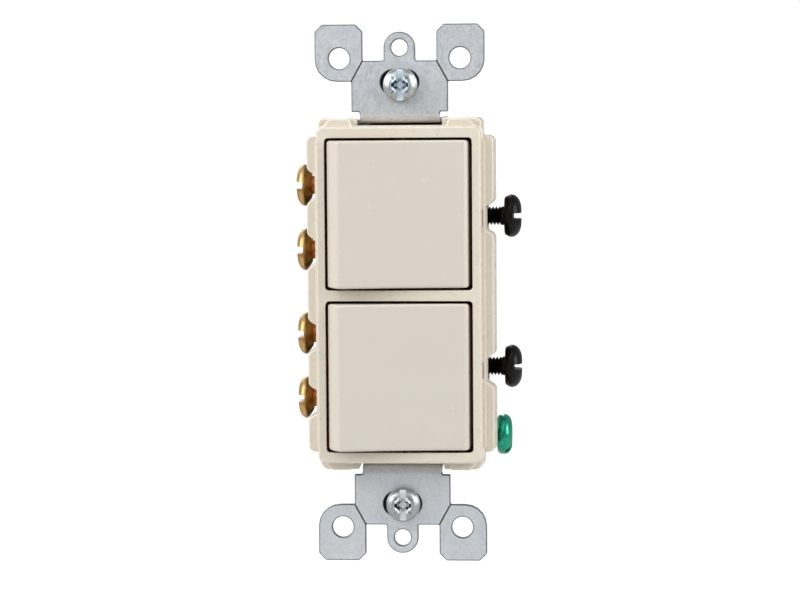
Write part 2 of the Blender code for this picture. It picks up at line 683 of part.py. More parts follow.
def rocker(name, parent):
    """Hollow rocker with a dished face, a trunnion at each end and a stem for the plunger."""
    centre = (0, 0)
    skirt = math.degrees(ROCKER_SKIRT_ANGLE)
    crest = math.degrees(ROCKER_CREST_ANGLE)
    crest_x = ROCKER_R * math.cos(ROCKER_CREST_ANGLE)
    crest_y = -ROCKER_R * math.sin(ROCKER_CREST_ANGLE)
    dish_r = (crest_x**2 + ROCKER_DISH**2) / (2 * ROCKER_DISH)
    dish_half = math.degrees(math.asin(crest_x / dish_r))
    dish_centre = (0, crest_y + ROCKER_DISH - dish_r)
    skirt_y = -ROCKER_R * math.sin(ROCKER_SKIRT_ANGLE)
    outline = [
        *arc(centre, ROCKER_R, -skirt, -crest, 5),
        *arc(dish_centre, dish_r, 90 - dish_half, 90 + dish_half, 8)[1:-1],
        *arc(centre, ROCKER_R, 180 + crest, 180 + skirt, 5),
        (-2 * TRUNNION_BOSS_R, skirt_y),
        *arc(centre, TRUNNION_BOSS_R, 180, 0, 8),
        (2 * TRUNNION_BOSS_R, skirt_y),
    ]
    mesh = plate([outline], 2 * ROCKER_HALF_LENGTH)
    body = piece(name, mesh, "almond_plastic", parent=parent)
    trunnions = cylinder(TRUNNION_R, 2 * (ROCKER_HALF_LENGTH + TRUNNION_REACH))
    boolean(body, "UNION", tool(name + "_trunnions", trunnions, parent=parent))
    inner_x = ROCKER_R * math.cos(ROCKER_SKIRT_ANGLE) - ROCKER_WALL
    ceiling_x, ceiling = ROCKER_CEILING
    open_y = TRUNNION_BOSS_R + REACH
    inner = [
        (-inner_x, open_y),
        (-inner_x, skirt_y),
        (-ceiling_x, -ceiling),
        (ceiling_x, -ceiling),
        (inner_x, skirt_y),
        (inner_x, open_y),
    ]
    hollow = plate([inner], 2 * (ROCKER_HALF_LENGTH - ROCKER_WALL))
    boolean(body, "DIFFERENCE", tool(name + "_hollow", hollow, parent=parent))
    stem = cylinder(STEM_R, STEM_END - STEM_TOP)
    at = (0, (STEM_END + STEM_TOP) / 2, 0)
    boolean(body, "UNION", tool(name + "_stem", stem, at, FACING, parent))
    bore_end = STEM_END + REACH
    bore = cylinder(STEM_BORE_R, bore_end - STEM_BORE_TOP)
    at = (0, (bore_end + STEM_BORE_TOP) / 2, 0)
    boolean(body, "DIFFERENCE", tool(name + "_bore", bore, at, FACING, parent))
    return body


def plunger(name, parent):
    """Nylon plunger: a tail inside the stem, and a round-nosed head that presses on the arm."""
    points = [
        (0, PLUNGER_TIP),
        (0.75 * MM, PLUNGER_TIP - 0.15 * MM),
        (1.25 * MM, PLUNGER_TIP - 0.6 * MM),
        (2.0 * MM, PLUNGER_TIP - 1.8 * MM),
        (2.0 * MM, PLUNGER_SHOULDER),
        (STEM_BORE_R - GAP, PLUNGER_SHOULDER),
        (STEM_BORE_R - GAP, PLUNGER_TAIL),
        (0, PLUNGER_TAIL),
    ]
    rearward = (-math.pi / 2, 0, 0)
    item = piece(name, profile(points), "nylon", rotation=rearward, parent=parent)
    turn(item, 14)


def spring(name, parent):
    """Coil spring between the blind end of the stem's bore and the plunger's tail."""
    low = STEM_BORE_TOP + GAP + SPRING_WIRE_R
    high = PLUNGER_TAIL - GAP - SPRING_WIRE_R
    per_turn = 10
    count = SPRING_TURNS * per_turn + 1
    curve = bpy.data.curves.new(name, "CURVE")
    curve.dimensions = "3D"
    curve.bevel_depth = SPRING_WIRE_R
    curve.bevel_resolution = 1
    curve.use_fill_caps = True
    spline = curve.splines.new("POLY")
    spline.points.add(count - 1)
    for i, point in enumerate(spline.points):
        angle = 2 * math.pi * i / per_turn
        along = low + (high - low) * i / (count - 1)
        point.co = (SPRING_R * math.cos(angle), along, SPRING_R * math.sin(angle), 1)
    item = piece(name, curve, "spring_steel", parent=parent)
    item.modifiers.new("close_ends", "WELD").merge_threshold = 0.001 * MM


def contact_arm(name, parent):
    """See-saw strip, its rear face on the hinge's axis."""
    corner = (CONTACT_ARM_HALF, CONTACT_ARM_T, CONTACT_ARM_HALF_HEIGHT)
    low = (-corner[0], -corner[1], -corner[2])
    piece(name, box(low, (corner[0], 0, corner[2])), "copper", parent=parent)


def contact_button(name, x, y, z, parent=None):
    """A silver contact, its flat front face at y."""
    location = (x, y + CONTACT_T / 2, z)
    piece(name, cylinder(CONTACT_R, CONTACT_T, 14), "silver", location, FACING, parent)


def terminal(name, side, sign, outline, strip_y, hole_z):
    """Folded brass terminal: a strip inside the housing, and a side plate with a tapped hole.

    outline is in distance towards the side and in height, flat, with the side plate's length
    given as how far it stands in front of the strip.
    """
    radius = TERMINAL_BEND_INNER + TERMINAL_T / 2
    start = TERMINAL_PLATE_X - radius
    plate_zero = start + radius * math.pi / 2 + strip_y - radius
    flat = [(plate_zero - x if kind == "y" else x, z) for kind, x, z in outline]
    upright = 1 if side > 0 else -1
    points = [(x, upright * sign * z) for x, z in flat]
    hole = circle((plate_zero - TERMINAL_SCREW_Y, upright * sign * hole_z), TERMINAL_HOLE_R, 16)
    mesh = plate([points, hole], TERMINAL_T)
    bend(mesh, Matrix(), start, radius, (-1, 1))
    rotation = FACING if side > 0 else (math.pi / 2, math.pi, 0)
    return piece(name, mesh, "brass", (0, strip_y, 0), rotation)


def outer_traveller(name, sign):
    """Terminal from the outer left screw to the contact under the arm's left end."""
    low, high = OUTER_TRAVELLER_Z
    pad = CONTACT_PAD_Z[0]
    near, far = CONTACT_PAD_X
    outline = [
        ("x", near, pad),
        ("x", far, pad),
        ("x", far, low),
        ("y", TERMINAL_FRONT_Y, low),
        ("y", TERMINAL_FRONT_Y, high),
        ("x", near, high),
    ]
    terminal(name, -1, sign, outline, TRAVELLER_Y, OUTER_SCREW_Z)


def inner_traveller(name, sign):
    """Terminal from the inner left screw across the chamber to the contact at the right."""
    low, high = INNER_TRAVELLER_Z
    pad = CONTACT_PAD_Z[1]
    near, far = CONTACT_PAD_X
    outline = [
        ("x", -far, low),
        ("y", TERMINAL_FRONT_Y, low),
        ("y", TERMINAL_FRONT_Y, high),
        ("x", -near, high),
        ("x", -near, pad),
        ("x", -far, pad),
    ]
    terminal(name, -1, sign, outline, TRAVELLER_Y, INNER_SCREW_Z)


def common_terminal(name, sign):
    """Terminal from the right screw to the knife edge that the arm rocks on."""
    half = CRADLE_HALF_WIDTH
    plate_low, high = COMMON_PLATE_Z
    strip_low = COMMON_STRIP_Z[0]
    outline = [
        ("x", -half, CRADLE_Z),
        ("x", half, CRADLE_Z),
        ("x", half, strip_low),
        ("y", COMMON_STEP_Y, strip_low),
        ("y", COMMON_STEP_Y, plate_low),
        ("y", TERMINAL_FRONT_Y, plate_low),
        ("y", TERMINAL_FRONT_Y, high),
        ("x", -half, high),
    ]
    item = terminal(name, 1, sign, outline, COMMON_Y, COMMON_SCREW_Z)
    edge_y = ARM_PIVOT_Y + GAP
    foot, length = KNIFE_EDGE
    wedge = plate([[(-foot, COMMON_Y), (0, edge_y), (foot, COMMON_Y)]], length)
    boolean(item, "UNION", tool(name + "_edge", wedge, (0, 0, sign * ROCKER_Z)))


def screw(name, finish, head, shank, location, rotation, slot):
    """A turned screw with a slotted head; its origin is at the head's seat, +Z out of the head."""
    radius, seat_r, height = head
    shank_r, length = shank
    points = [
        (0, height),
        (0.45 * radius, 0.97 * height),
        (0.8 * radius, 0.8 * height),
        (radius, 0.45 * height),
        (seat_r, 0),
        (shank_r, 0),
        (shank_r, -length + 0.4 * MM),
        (shank_r - 0.4 * MM, -length),
        (0, -length),
    ]
    item = piece(name, profile(points), finish, location, rotation)
    turn(item, 16)
    width, depth, angle = slot
    bar = box(
        (-width / 2, -radius - REACH, height - depth),
        (width / 2, radius + REACH, height + REACH),
    )
    bar.transform(Matrix.Rotation(angle, 4, "Z"))
    boolean(item, "DIFFERENCE", tool(name + "_slot", bar, location, rotation))


def terminal_screws():
    """Brass traveller screws on the left, backed-out black common screws, green ground screw."""
    leftward = (0, -math.pi / 2, 0)
    rightward = (0, math.pi / 2, 0)
    for switch, sign in SWITCHES:
        for which, height in (("outer", OUTER_SCREW_Z), ("inner", INNER_SCREW_Z)):
            name = f"traveller_screw_{switch}_{which}"
            seat = (-TRAVELLER_SEAT_X, TERMINAL_SCREW_Y, sign * height)
            screw(name, "brass", TRAVELLER_HEAD, TERMINAL_SHANK, seat, leftward, TRAVELLER_SLOT)
        name = "common_screw_" + switch
        seat = (COMMON_SEAT_X, TERMINAL_SCREW_Y, sign * COMMON_SCREW_Z)
        screw(name, "black_steel", COMMON_HEAD, TERMINAL_SHANK, seat, rightward, COMMON_SLOT)
    seat = (GROUND_SEAT_X, TERMINAL_SCREW_Y, GROUND_SCREW_Z)
    screw("ground_screw", "green_steel", GROUND_HEAD, TERMINAL_SHANK, seat, rightward, GROUND_SLOT)


def box_screws():
    """Screws for the wall box, hanging in the strap's slots, and fibre washers behind it."""
    for name, end, drop in BOX_SCREW_DROPS:
        height = end * BOX_SCREW_Z - drop
        seat = (BOX_SCREW_X, -STRAP_T - GAP, height)
        screw("box_screw_" + name, "zinc_steel", BOX_HEAD, BOX_SHANK, seat, FACING, BOX_SLOT)
        hole = circle((0, 0), BOX_SHANK[0] + GAP, 14)
        ring = [circle((0, 0), RETAINER_R, 20), hole]
        location = (BOX_SCREW_X, GAP + RETAINER_T / 2, height)
        piece("screw_retainer_" + name, plate(ring, RETAINER_T), "fibre", location, FACING)


def housing_screws():
    """Long screws from behind, through the housing's corners into the cover's bosses."""
    rearward = (-math.pi / 2, 0, 0)
    for number, (x, z) in enumerate(housing_screw_places(), 1):
        seat = (x, HOUSING_REAR_Y + GAP, z)
        name = f"housing_screw_{number}"
        screw(name, "zinc_steel", HOUSING_HEAD, HOUSING_SHANK, seat, rearward, HOUSING_SLOT)


def switch_mechanism(switch, sign):
    """Everything inside one switch, from the rocker to its three terminals."""
    height = sign * ROCKER_Z
    rocker_axis = pivot("rocker_axis_" + switch, (0, PIVOT_Y, height), ROCKER_TILT)
    rocker("rocker_" + switch, rocker_axis)
    plunger("plunger_" + switch, rocker_axis)
    spring("plunger_spring_" + switch, rocker_axis)
    arm_axis = pivot("arm_axis_" + switch, (0, ARM_PIVOT_Y, height), -CONTACT_TILT)
    contact_arm("contact_arm_" + switch, arm_axis)
    for side_name, side in (("left", -1), ("right", 1)):
        moving = f"moving_contact_{switch}_{side_name}"
        contact_button(moving, side * CONTACT_X, GAP, 0, arm_axis)
        fixed = f"fixed_contact_{switch}_{side_name}"
        contact_button(fixed, side * CONTACT_X, FIXED_CONTACT_Y, height)
    outer_traveller(f"traveller_terminal_{switch}_outer", sign)
    inner_traveller(f"traveller_terminal_{switch}_inner", sign)
    common_terminal("common_terminal_" + switch, sign)


def main():
    clear_scene()
    strap()
    front_cover()
    rear_housing()
    for switch, sign in SWITCHES:
        switch_mechanism(switch, sign)
    terminal_screws()
    box_screws()
    housing_screws()


main()
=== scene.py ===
"""Looks of the duplex rocker switch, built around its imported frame."""
import json
import math

import bmesh
import bpy
from mathutils import Matrix, Vector


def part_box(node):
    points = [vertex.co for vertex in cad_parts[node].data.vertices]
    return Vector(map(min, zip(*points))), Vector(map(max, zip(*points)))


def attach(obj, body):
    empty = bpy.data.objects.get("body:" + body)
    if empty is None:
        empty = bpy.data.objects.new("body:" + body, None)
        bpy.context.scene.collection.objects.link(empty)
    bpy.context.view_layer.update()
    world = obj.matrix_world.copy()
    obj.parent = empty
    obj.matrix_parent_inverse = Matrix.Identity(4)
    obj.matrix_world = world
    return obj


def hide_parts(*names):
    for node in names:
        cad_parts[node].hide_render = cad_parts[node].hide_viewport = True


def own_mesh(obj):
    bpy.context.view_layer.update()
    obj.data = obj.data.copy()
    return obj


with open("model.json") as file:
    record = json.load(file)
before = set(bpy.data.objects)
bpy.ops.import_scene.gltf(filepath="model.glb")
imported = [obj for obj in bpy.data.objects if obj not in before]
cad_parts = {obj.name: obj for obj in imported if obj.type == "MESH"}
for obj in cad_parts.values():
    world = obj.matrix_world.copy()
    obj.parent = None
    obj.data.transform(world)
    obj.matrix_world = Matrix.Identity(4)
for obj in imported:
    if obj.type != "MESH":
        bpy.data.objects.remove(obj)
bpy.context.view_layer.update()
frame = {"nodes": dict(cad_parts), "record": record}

MM = 0.001
TINY = 0.001 * MM
WHITE = (1.0, 1.0, 1.0)
SWITCHES = (("upper", 1), ("lower", -1))
QUARTERS = ((1, 1), (-1, 1), (-1, -1), (1, -1))
FRONT = Matrix.Rotation(math.pi / 2, 4, "X")

# Camera: where it looks from, and what it aims at.
CAMERA_DISTANCE = 0.6
CAMERA_AZIMUTH = math.radians(4.55)
CAMERA_ELEVATION = math.radians(4.1)
CAMERA_ROLL = math.radians(-0.427)
CAMERA_TARGET = Vector((-0.305 * MM, 0, -1.29 * MM))
SENSOR_WIDTH = 36.0
FOCAL_LENGTH = 136.65

# Studio: surroundings, and each light's place, size and power.
FLOOR_HALF = 3.0
FLOOR_Z = (-0.17, -0.16)
FLOOR_WHITE = 1.08
WORLD_COLOUR = (0.93, 0.96, 1.0)
WORLD_STRENGTH = 0.3
LIGHTS = (
    ("key", (-0.15, -0.4, 0.42), 0.5, 1.1),
    ("top", (0.0, -0.25, 0.7), 0.5, 0.55),
    ("left", (-0.5, -0.2, 0.25), 0.4, 3.2),
    ("right", (0.5, -0.18, 0.2), 0.4, 3.0),
    ("back", (-0.3, 0.8, 0.4), 0.6, 3.0),
)

# Front cover. A half size is half of the width and half of the height.
COVER_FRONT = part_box("front_cover")[0].y
COVER_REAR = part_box("front_cover")[1].y
SHELF_Y = -2.4 * MM
STEP_Y = -2.8 * MM
STEP_X = 16.75 * MM
BEZEL_HALF = (16.1 * MM, 33.0 * MM)
BEZEL_CORNER_R = 1.5 * MM
FLANGE_HALF = (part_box("front_cover")[1].x, 31.2 * MM)
END_HALF = (16.4 * MM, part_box("front_cover")[1].z)
STRAP_NOTCH = (8.4 * MM, 33.2 * MM)
NOTCH_X = 16.95 * MM
COVER_DRAFT = 0.35 * MM
END_CORNER_R = {1: 1.05 * MM, -1: 1.6 * MM}
WINDOW_HALF_WIDTH = 14.43 * MM
WINDOW_Z = (1.075 * MM, 30.83 * MM)
WINDOW_LIP = 0.15 * MM
WINDOW_ROOM = (0.97 * MM, -0.05 * MM, 1.2 * MM)  # wider, higher and deeper than the window
BOSS_FRONT = -4.3 * MM
BOSS_X = (9.1 * MM, 9.8 * MM, 13.65 * MM, 15.2 * MM)
BOSS_Z = (31.5 * MM, 32.9 * MM, END_HALF[1] - 0.08 * MM)
SLIT = ((16.16 * MM, -3.2 * MM, -1.6 * MM), (16.3 * MM, -2.5 * MM, 1.6 * MM))
STRAP_ROOM = ((-STRAP_NOTCH[0], -5.5 * MM, STRAP_NOTCH[1]), (STRAP_NOTCH[0], 4 * MM, 36 * MM))
HINGE_BORE_R = 1.65 * MM
PILOT = (1.3 * MM, 3.4 * MM)  # radius, depth

# Rockers, in a frame on the hinge with Y rearward; the section's own angles are in degrees.
ROCKER_HINGE = Vector((0, -0.8 * MM, 15.95 * MM))
ROCKER_TILT = math.radians(6.9)
ROCKER_R = 14.9 * MM
ROCKER_OFFSET = 0.15 * MM
ROCKER_SKIRT_ANGLE = 8.0
ROCKER_CREST_ANGLE = 33.2
ROCKER_DISH = 0.8 * MM
ROCKER_CORNER_R = 1.15 * MM
ROCKER_HALF_LENGTH = 14.4 * MM
ROCKER_EDGE = 0.55 * MM
ROCKER_WALL = 1.5 * MM
HOLLOW_ROOF = (12.2 * MM, -5.4 * MM)  # half width, Y
STEM = (2.7 * MM, 12 * MM, -0.2 * MM)  # radius, length, Y of its middle
STEM_BORE = (1.6 * MM, 10.3 * MM, 1.65 * MM)
TRUNNION = (1.35 * MM, 1.35 * MM)  # radius, length past the rocker

# Strap. A hole is its X or Y, its Z, then its radius; a hole on the middle line has no X.
STRAP_T = 1.2 * MM
BEND_R = 1.6 * MM
STRAP_HALF_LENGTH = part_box("strap")[1].z
BAND_HALF_WIDTH = 7.9 * MM
PLATE_HALF_WIDTH = 9.5 * MM
SHOULDER_Z = 35.85 * MM
EAR_X = (7.3 * MM, 16.7 * MM)
EAR_ROOT_Z = 41.8 * MM
EAR_HOLE = (11.88 * MM, 46.33 * MM, 2.08 * MM)
NOTCH_Z = 45.86 * MM
TAB_HALF_WIDTH = 3.1 * MM
PLATE_SCREW = (48.42 * MM, 1.63 * MM)
BOX_SLOT = (3.75 * MM, 2.35 * MM)  # half length, radius
BOX_SLOT_Z = 41.67 * MM
LEG_Z = 34.1 * MM
BAND_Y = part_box("strap")[1].y - STRAP_T / 2
ARM_X = 16.8 * MM
ARM_Z = (-22.0 * MM, -27.0 * MM, -31.6 * MM)
ARM_Y = (3.4 * MM, 11.2 * MM)
GROUND_HOLE = (7.0 * MM, -28.7 * MM, 2.15 * MM)

# Screws: a shank's radius and length, and the pitch of its thread.
THREAD_DEPTH = 0.54 * MM
TERMINAL_SCREW = (1.9 * MM, 6.4 * MM, 0.66 * MM)
BOX_SCREW = (1.5 * MM, 19 * MM, 0.79 * MM)
HOUSING_SCREW = (1.0 * MM, 28.4 * MM, 0.9 * MM)

# Rear housing. Ribs are given by side, reach and heights.
WIRE_HOLE_X = 10.2 * MM
STRIP_GAUGE_X = 12.0 * MM
SIDE_RIBS = (
    (-1, 1.3 * MM, (14.85 * MM, -14.85 * MM)),
    (1, 1.0 * MM, (-6.0 * MM, 6.0 * MM, 24.0 * MM)),
)
RIB_Y = (COVER_REAR + 0.9 * MM, 13.5 * MM)
RIB_HALF = 0.5 * MM
RIB_FOOT = 0.3 * MM

# Mechanism.
ARM_HINGE_Y = 12.15 * MM
CONTACT_TILT = math.radians(7.0)
CONTACT_X = 8.3 * MM
CONTACT_SIZE = (1.6 * MM, 0.9 * MM)  # radius, height
SPRING_ENDS = (-3.2 * MM, 1.2 * MM)
SPRING_SIZE = (1.05 * MM, 0.2 * MM)  # radius of the coil, radius of the wire
SPRING_TURNS = 6


# Outlines and solids.


def arc(centre, radius, start, end, steps):
    """Points along an arc, angles in degrees."""
    angles = (math.radians(start + (end - start) * i / steps) for i in range(steps + 1))
    return [(centre[0] + radius * math.cos(a), centre[1] + radius * math.sin(a)) for a in angles]


def circle(centre, radius, sides=48):
    """A closed ring of points."""
    return arc(centre, radius, 0, 360 - 360 / sides, sides - 1)


def filleted(corners, steps=5):
    """A closed outline from corners (x, y, radius), each turned with its radius."""
    points = []
    for i, (x, y, radius) in enumerate(corners):
        here = Vector((x, y))
        back = (Vector(corners[i - 1][:2]) - here).normalized()
        ahead = (Vector(corners[(i + 1) % len(corners)][:2]) - here).normalized()
        half = back.angle(ahead) / 2
        if radius == 0 or half > math.radians(89):
            points.append((x, y))
            continue
        centre = here + (back + ahead).normalized() * radius / math.sin(half)
        first = here + back * radius / math.tan(half) - centre
        turn = first.angle_signed(here + ahead * radius / math.tan(half) - centre)
        for step in range(steps + 1):
            spoke = first.copy()
            spoke.rotate(Matrix.Rotation(-turn * step / steps, 2))
            points.append(tuple(centre + spoke))
    return points


def rectangle(half_x, half_y, radius, centre=(0, 0), steps=5):
    """A rectangle with round corners."""
    x, y = centre
    return filleted([(x + a * half_x, y + b * half_y, radius) for a, b in QUARTERS], steps)


def mirrored(corners, side, end):
    """Corners (x, z, radius) of the first quarter in another quarter, still anticlockwise."""
    corners = [(side * x, end * z, r) for x, z, r in corners]
    return corners if side * end > 0 else corners[::-1]


def all_quarters(corners):
    """Corners all round an outline, from those in its first quarter."""
    return [corner for side, end in QUARTERS for corner in mirrored(corners, side, end)]


def inset(outline, distance):
    """An anticlockwise outline moved inward, or outward by a negative distance."""
    moved = []
    for i, point in enumerate(outline):
        here = Vector(point)
        before = (here - Vector(outline[i - 1])).normalized()
        after = (Vector(outline[(i + 1) % len(outline)]) - here).normalized()
        normals = [Vector((-d.y, d.x)) for d in (before, after)]
        middle = (normals[0] + normals[1]).normalized()
        moved.append(tuple(here + middle * distance / max(middle.dot(normals[1]), 0.3)))
    return moved


def as_mesh(work, name):
    """The working mesh as a mesh of this name."""
    mesh = bpy.data.meshes.new(name)
    work.to_mesh(mesh)
    work.free()
    return mesh


def skin(rings):
    """A closed mesh over rings of points, with flat ends."""
    work = bmesh.new()
    rings = [[work.verts.new(point) for point in ring] for ring in rings]
    for low, high in zip(rings, rings[1:]):
        for i in range(len(low)):
            work.faces.new((low[i - 1], low[i], high[i], high[i - 1]))
    work.faces.new(rings[0][::-1])
    work.faces.new(rings[-1])
    bmesh.ops.recalc_face_normals(work, faces=work.faces)
    return as_mesh(work, "skin")


def stack(layers):
    """A closed solid from outlines at their heights, each (outline, height)."""
    return skin([[(x, y, z) for x, y in outline] for outline, z in layers])


def quarter(radius, steps=5):
    """How far in and how far along a round edge has gone, from its start to its end."""
    angles = (math.pi / 2 * i / steps for i in range(steps + 1))
    return [(radius * (1 - math.cos(a)), radius * math.sin(a)) for a in angles]


def slab(outline, front, rear, edge=0, foot=0, draft=0):
    """A plate facing the front: outline in X and Z, round front edge, flared foot, tapered sides."""

    def tapered(distance):
        return [(x - math.copysign(draft, x), z) for x, z in inset(outline, distance)]

    layers = []
    if foot:
        layers += [(inset(outline, b - foot), -rear + a) for a, b in quarter(foot)]
    else:
        layers.append((outline, -rear))
    if edge:
        layers += [(tapered(a), -front - edge + b) for a, b in quarter(edge)]
    else:
        layers.append((tapered(0), -front))
    return moved(stack(layers), FRONT)


def window_cutter(outline, front, rear, lip):
    """A cutter whose opening flares, so that it leaves a round rim at the front."""
    layers = [(outline, -rear)]
    layers += [(inset(outline, -a), -front - lip + b) for a, b in quarter(lip)]
    layers.append((layers[-1][0], -front + MM))
    return moved(stack(layers), FRONT)


def cylinder(radius, length, sides=32):
    """An upright cylinder, centred."""
    return stack([(circle((0, 0), radius, sides), z) for z in (-length / 2, length / 2)])


def box(low, high):
    """A box between two corners."""
    middle = [(a + b) / 2 for a, b in zip(low, high)]
    half = [(b - a) / 2 for a, b in zip(low, high)]
    mesh = stack([(rectangle(half[0], half[1], 0), z) for z in (-half[2], half[2])])
    return moved(mesh, shift(*middle))


def moved(mesh, *matrices):
    """The mesh after these moves, the last one first."""
    for matrix in reversed(matrices):
        mesh.transform(matrix)
    return mesh


def shift(x, y, z):
    """A move without turning."""
    return Matrix.Translation((x, y, z))


def middle_of(node):
    """The middle of a CAD node's box."""
    low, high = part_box(node)
    return (low + high) / 2


def link(name, data):
    """An object in the scene with this mesh or other data."""
    item = bpy.data.objects.new(name, data)
    bpy.context.scene.collection.objects.link(item)
    return item


def bake_modifiers(item):
    """Turn the object's modifiers into its mesh."""
    evaluated = item.evaluated_get(bpy.context.evaluated_depsgraph_get())
    mesh = bpy.data.meshes.new_from_object(evaluated)
    item.modifiers.clear()
    item.data = mesh


def combine(item, operation, *meshes):
    """Cut or join the object with each mesh in turn."""
    for mesh in meshes:
        tool = link("tool", mesh)
        step = item.modifiers.new("combine", "BOOLEAN")
        step.operation = operation
        step.solver = "EXACT"
        step.object = tool
        bake_modifiers(item)
        bpy.data.objects.remove(tool)


def break_edges(item, width, angle):
    """Bevel the edges sharper than this angle, in degrees."""
    step = item.modifiers.new("edges", "BEVEL")
    step.width = width
    step.segments = 2
    step.limit_method = "ANGLE"
    step.angle_limit = math.radians(angle)


def finished(item, body, node, slot, angle=35, edge=0):
    """Shade the piece, give it its material, and set what it rides on and stands for."""
    if edge:
        break_edges(item, edge, angle)
        bake_modifiers(item)
    item.data.shade_smooth()
    item.data.set_sharp_from_angle(angle=math.radians(angle + 10))
    weighted = item.modifiers.new("normals", "WEIGHTED_NORMAL")
    weighted.keep_sharp = True
    if not item.data.materials:
        item.data.materials.append(MATERIALS[slot])
    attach(item, body)
    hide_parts(node)
    return item


# Materials.


class Nodes:
    """A material's node tree, with short ways to add what the finishes share."""

    def __init__(self, name, colour, roughness, metallic=0.0):
        self.material = bpy.data.materials.new(name)
        self.material.use_nodes = True
        self.tree = self.material.node_tree
        self.shader = self.tree.nodes["Principled BSDF"]
        self.use("Base Color", (*colour, 1))
        self.use("Roughness", roughness)
        self.use("Metallic", metallic)
        self.material.diffuse_color = (*colour, 1)
        self.place = self.tree.nodes.new("ShaderNodeTexCoord").outputs["Object"]

    def feed(self, socket, value):
        """Link another socket to this one, or set it to a constant."""
        if isinstance(value, bpy.types.NodeSocket):
            self.tree.links.new(value, socket)
        else:
            socket.default_value = value

    def use(self, name, value):
        """Link or set one of the shader's inputs."""
        self.feed(self.shader.inputs[name], value)

    def add(self, kind, operation=None, **inputs):
        """A node, with its operation if it has one, and its named inputs set or linked."""
        node = self.tree.nodes.new(kind)
        if operation:
            node.operation = operation
        for name, value in inputs.items():
            self.feed(node.inputs[name.replace("_", " ")], value)
        return node

    def stretched(self, scale):
        """The object's own coordinates, scaled differently along each axis."""
        return self.add("ShaderNodeMapping", Vector=self.place, Scale=scale).outputs["Vector"]

    def noise(self, scale, detail=2.0, vector=None):
        """Smooth noise from 0 to 1."""
        vector = vector or self.place
        made = self.add("ShaderNodeTexNoise", Vector=vector, Scale=scale, Detail=detail)
        return made.outputs["Fac"]

    def painted_gap_shade(self, colour, reach=1.8 * MM, bounds=(0.12, 0.45)):
        """Painted shade from ambient occlusion: white in the open, and this colour deep in a gap."""
        near = self.add("ShaderNodeAmbientOcclusion", Distance=reach)
        near.samples = 16
        return self.ramp(near.outputs["AO"], (bounds[0], colour), (bounds[1], WHITE))

    def ramp(self, value, *stops):
        """A colour for each value, from (place, colour) stops."""
        made = self.add("ShaderNodeValToRGB", Fac=value)
        band = made.color_ramp
        while len(band.elements) < len(stops):
            band.elements.new(0.5)
        for element, (place, colour) in zip(band.elements, stops):
            element.position = place
            element.color = (*colour, 1) if len(colour) == 3 else (*colour * 3, 1)
        return made.outputs["Color"]

    def range(self, value, low, high, source=(0.3, 0.7)):
        """The value moved from the source range into low to high."""
        start, end = source
        limits = {"From_Min": start, "From_Max": end, "To_Min": low, "To_Max": high}
        return self.add("ShaderNodeMapRange", Value=value, **limits).outputs["Result"]

    def maths(self, first, second, operation="ADD"):
        """Two values joined by arithmetic."""
        made = self.add("ShaderNodeMath", operation)
        for socket, value in zip(made.inputs, (first, second)):
            self.feed(socket, value)
        return made.outputs["Value"]

    def blend(self, first, second, share, mode="MIX"):
        """Two colours mixed."""
        made = self.tree.nodes.new("ShaderNodeMixRGB")
        made.blend_type = mode
        for socket, value in zip(made.inputs, (share, first, second)):
            self.feed(socket, (*value, 1) if isinstance(value, tuple) else value)
        return made.outputs["Color"]

    def times(self, first, second, share=1.0):
        """The first colour darkened by the second."""
        return self.blend(first, second, share, "MULTIPLY")

    def bump(self, height, depth):
        """Raise the surface by this height times depth."""
        made = self.add("ShaderNodeBump", Height=height, Distance=depth, Strength=1.0)
        self.use("Normal", made.outputs["Normal"])


def shade(colour, factor):
    """A colour made lighter or darker."""
    return tuple(min(c * factor, 1.0) for c in colour)


def moulded(
    name, colour, roughness, grain, relief, gap_shade=(0.5, 0.2, 0.07), bounds=(0.12, 0.45)
):
    """Moulded plastic: flow marks, fine speckle, mould grain, and painted shade in deep clefts."""
    n = Nodes(name, colour, roughness)
    flow = n.noise(90, 3.0)
    speckle = n.noise(2600)
    base = n.ramp(flow, (0.3, shade(colour, 0.992)), (0.7, shade(colour, 1.006)))
    dust = n.ramp(speckle, (0.2, (0.88, 0.85, 0.8)), (0.3, WHITE))
    base = n.times(base, dust, 0.5)
    # Painted shade: ambient occlusion darkens deep clefts towards the shade colour.
    n.use("Base Color", n.times(base, n.painted_gap_shade(gap_shade, bounds=bounds)))
    n.use("Roughness", n.range(n.noise(420), roughness - 0.03, roughness + 0.03, (0.0, 1.0)))
    n.bump(n.maths(n.noise(grain), n.noise(grain / 6)), relief)
    return n.material


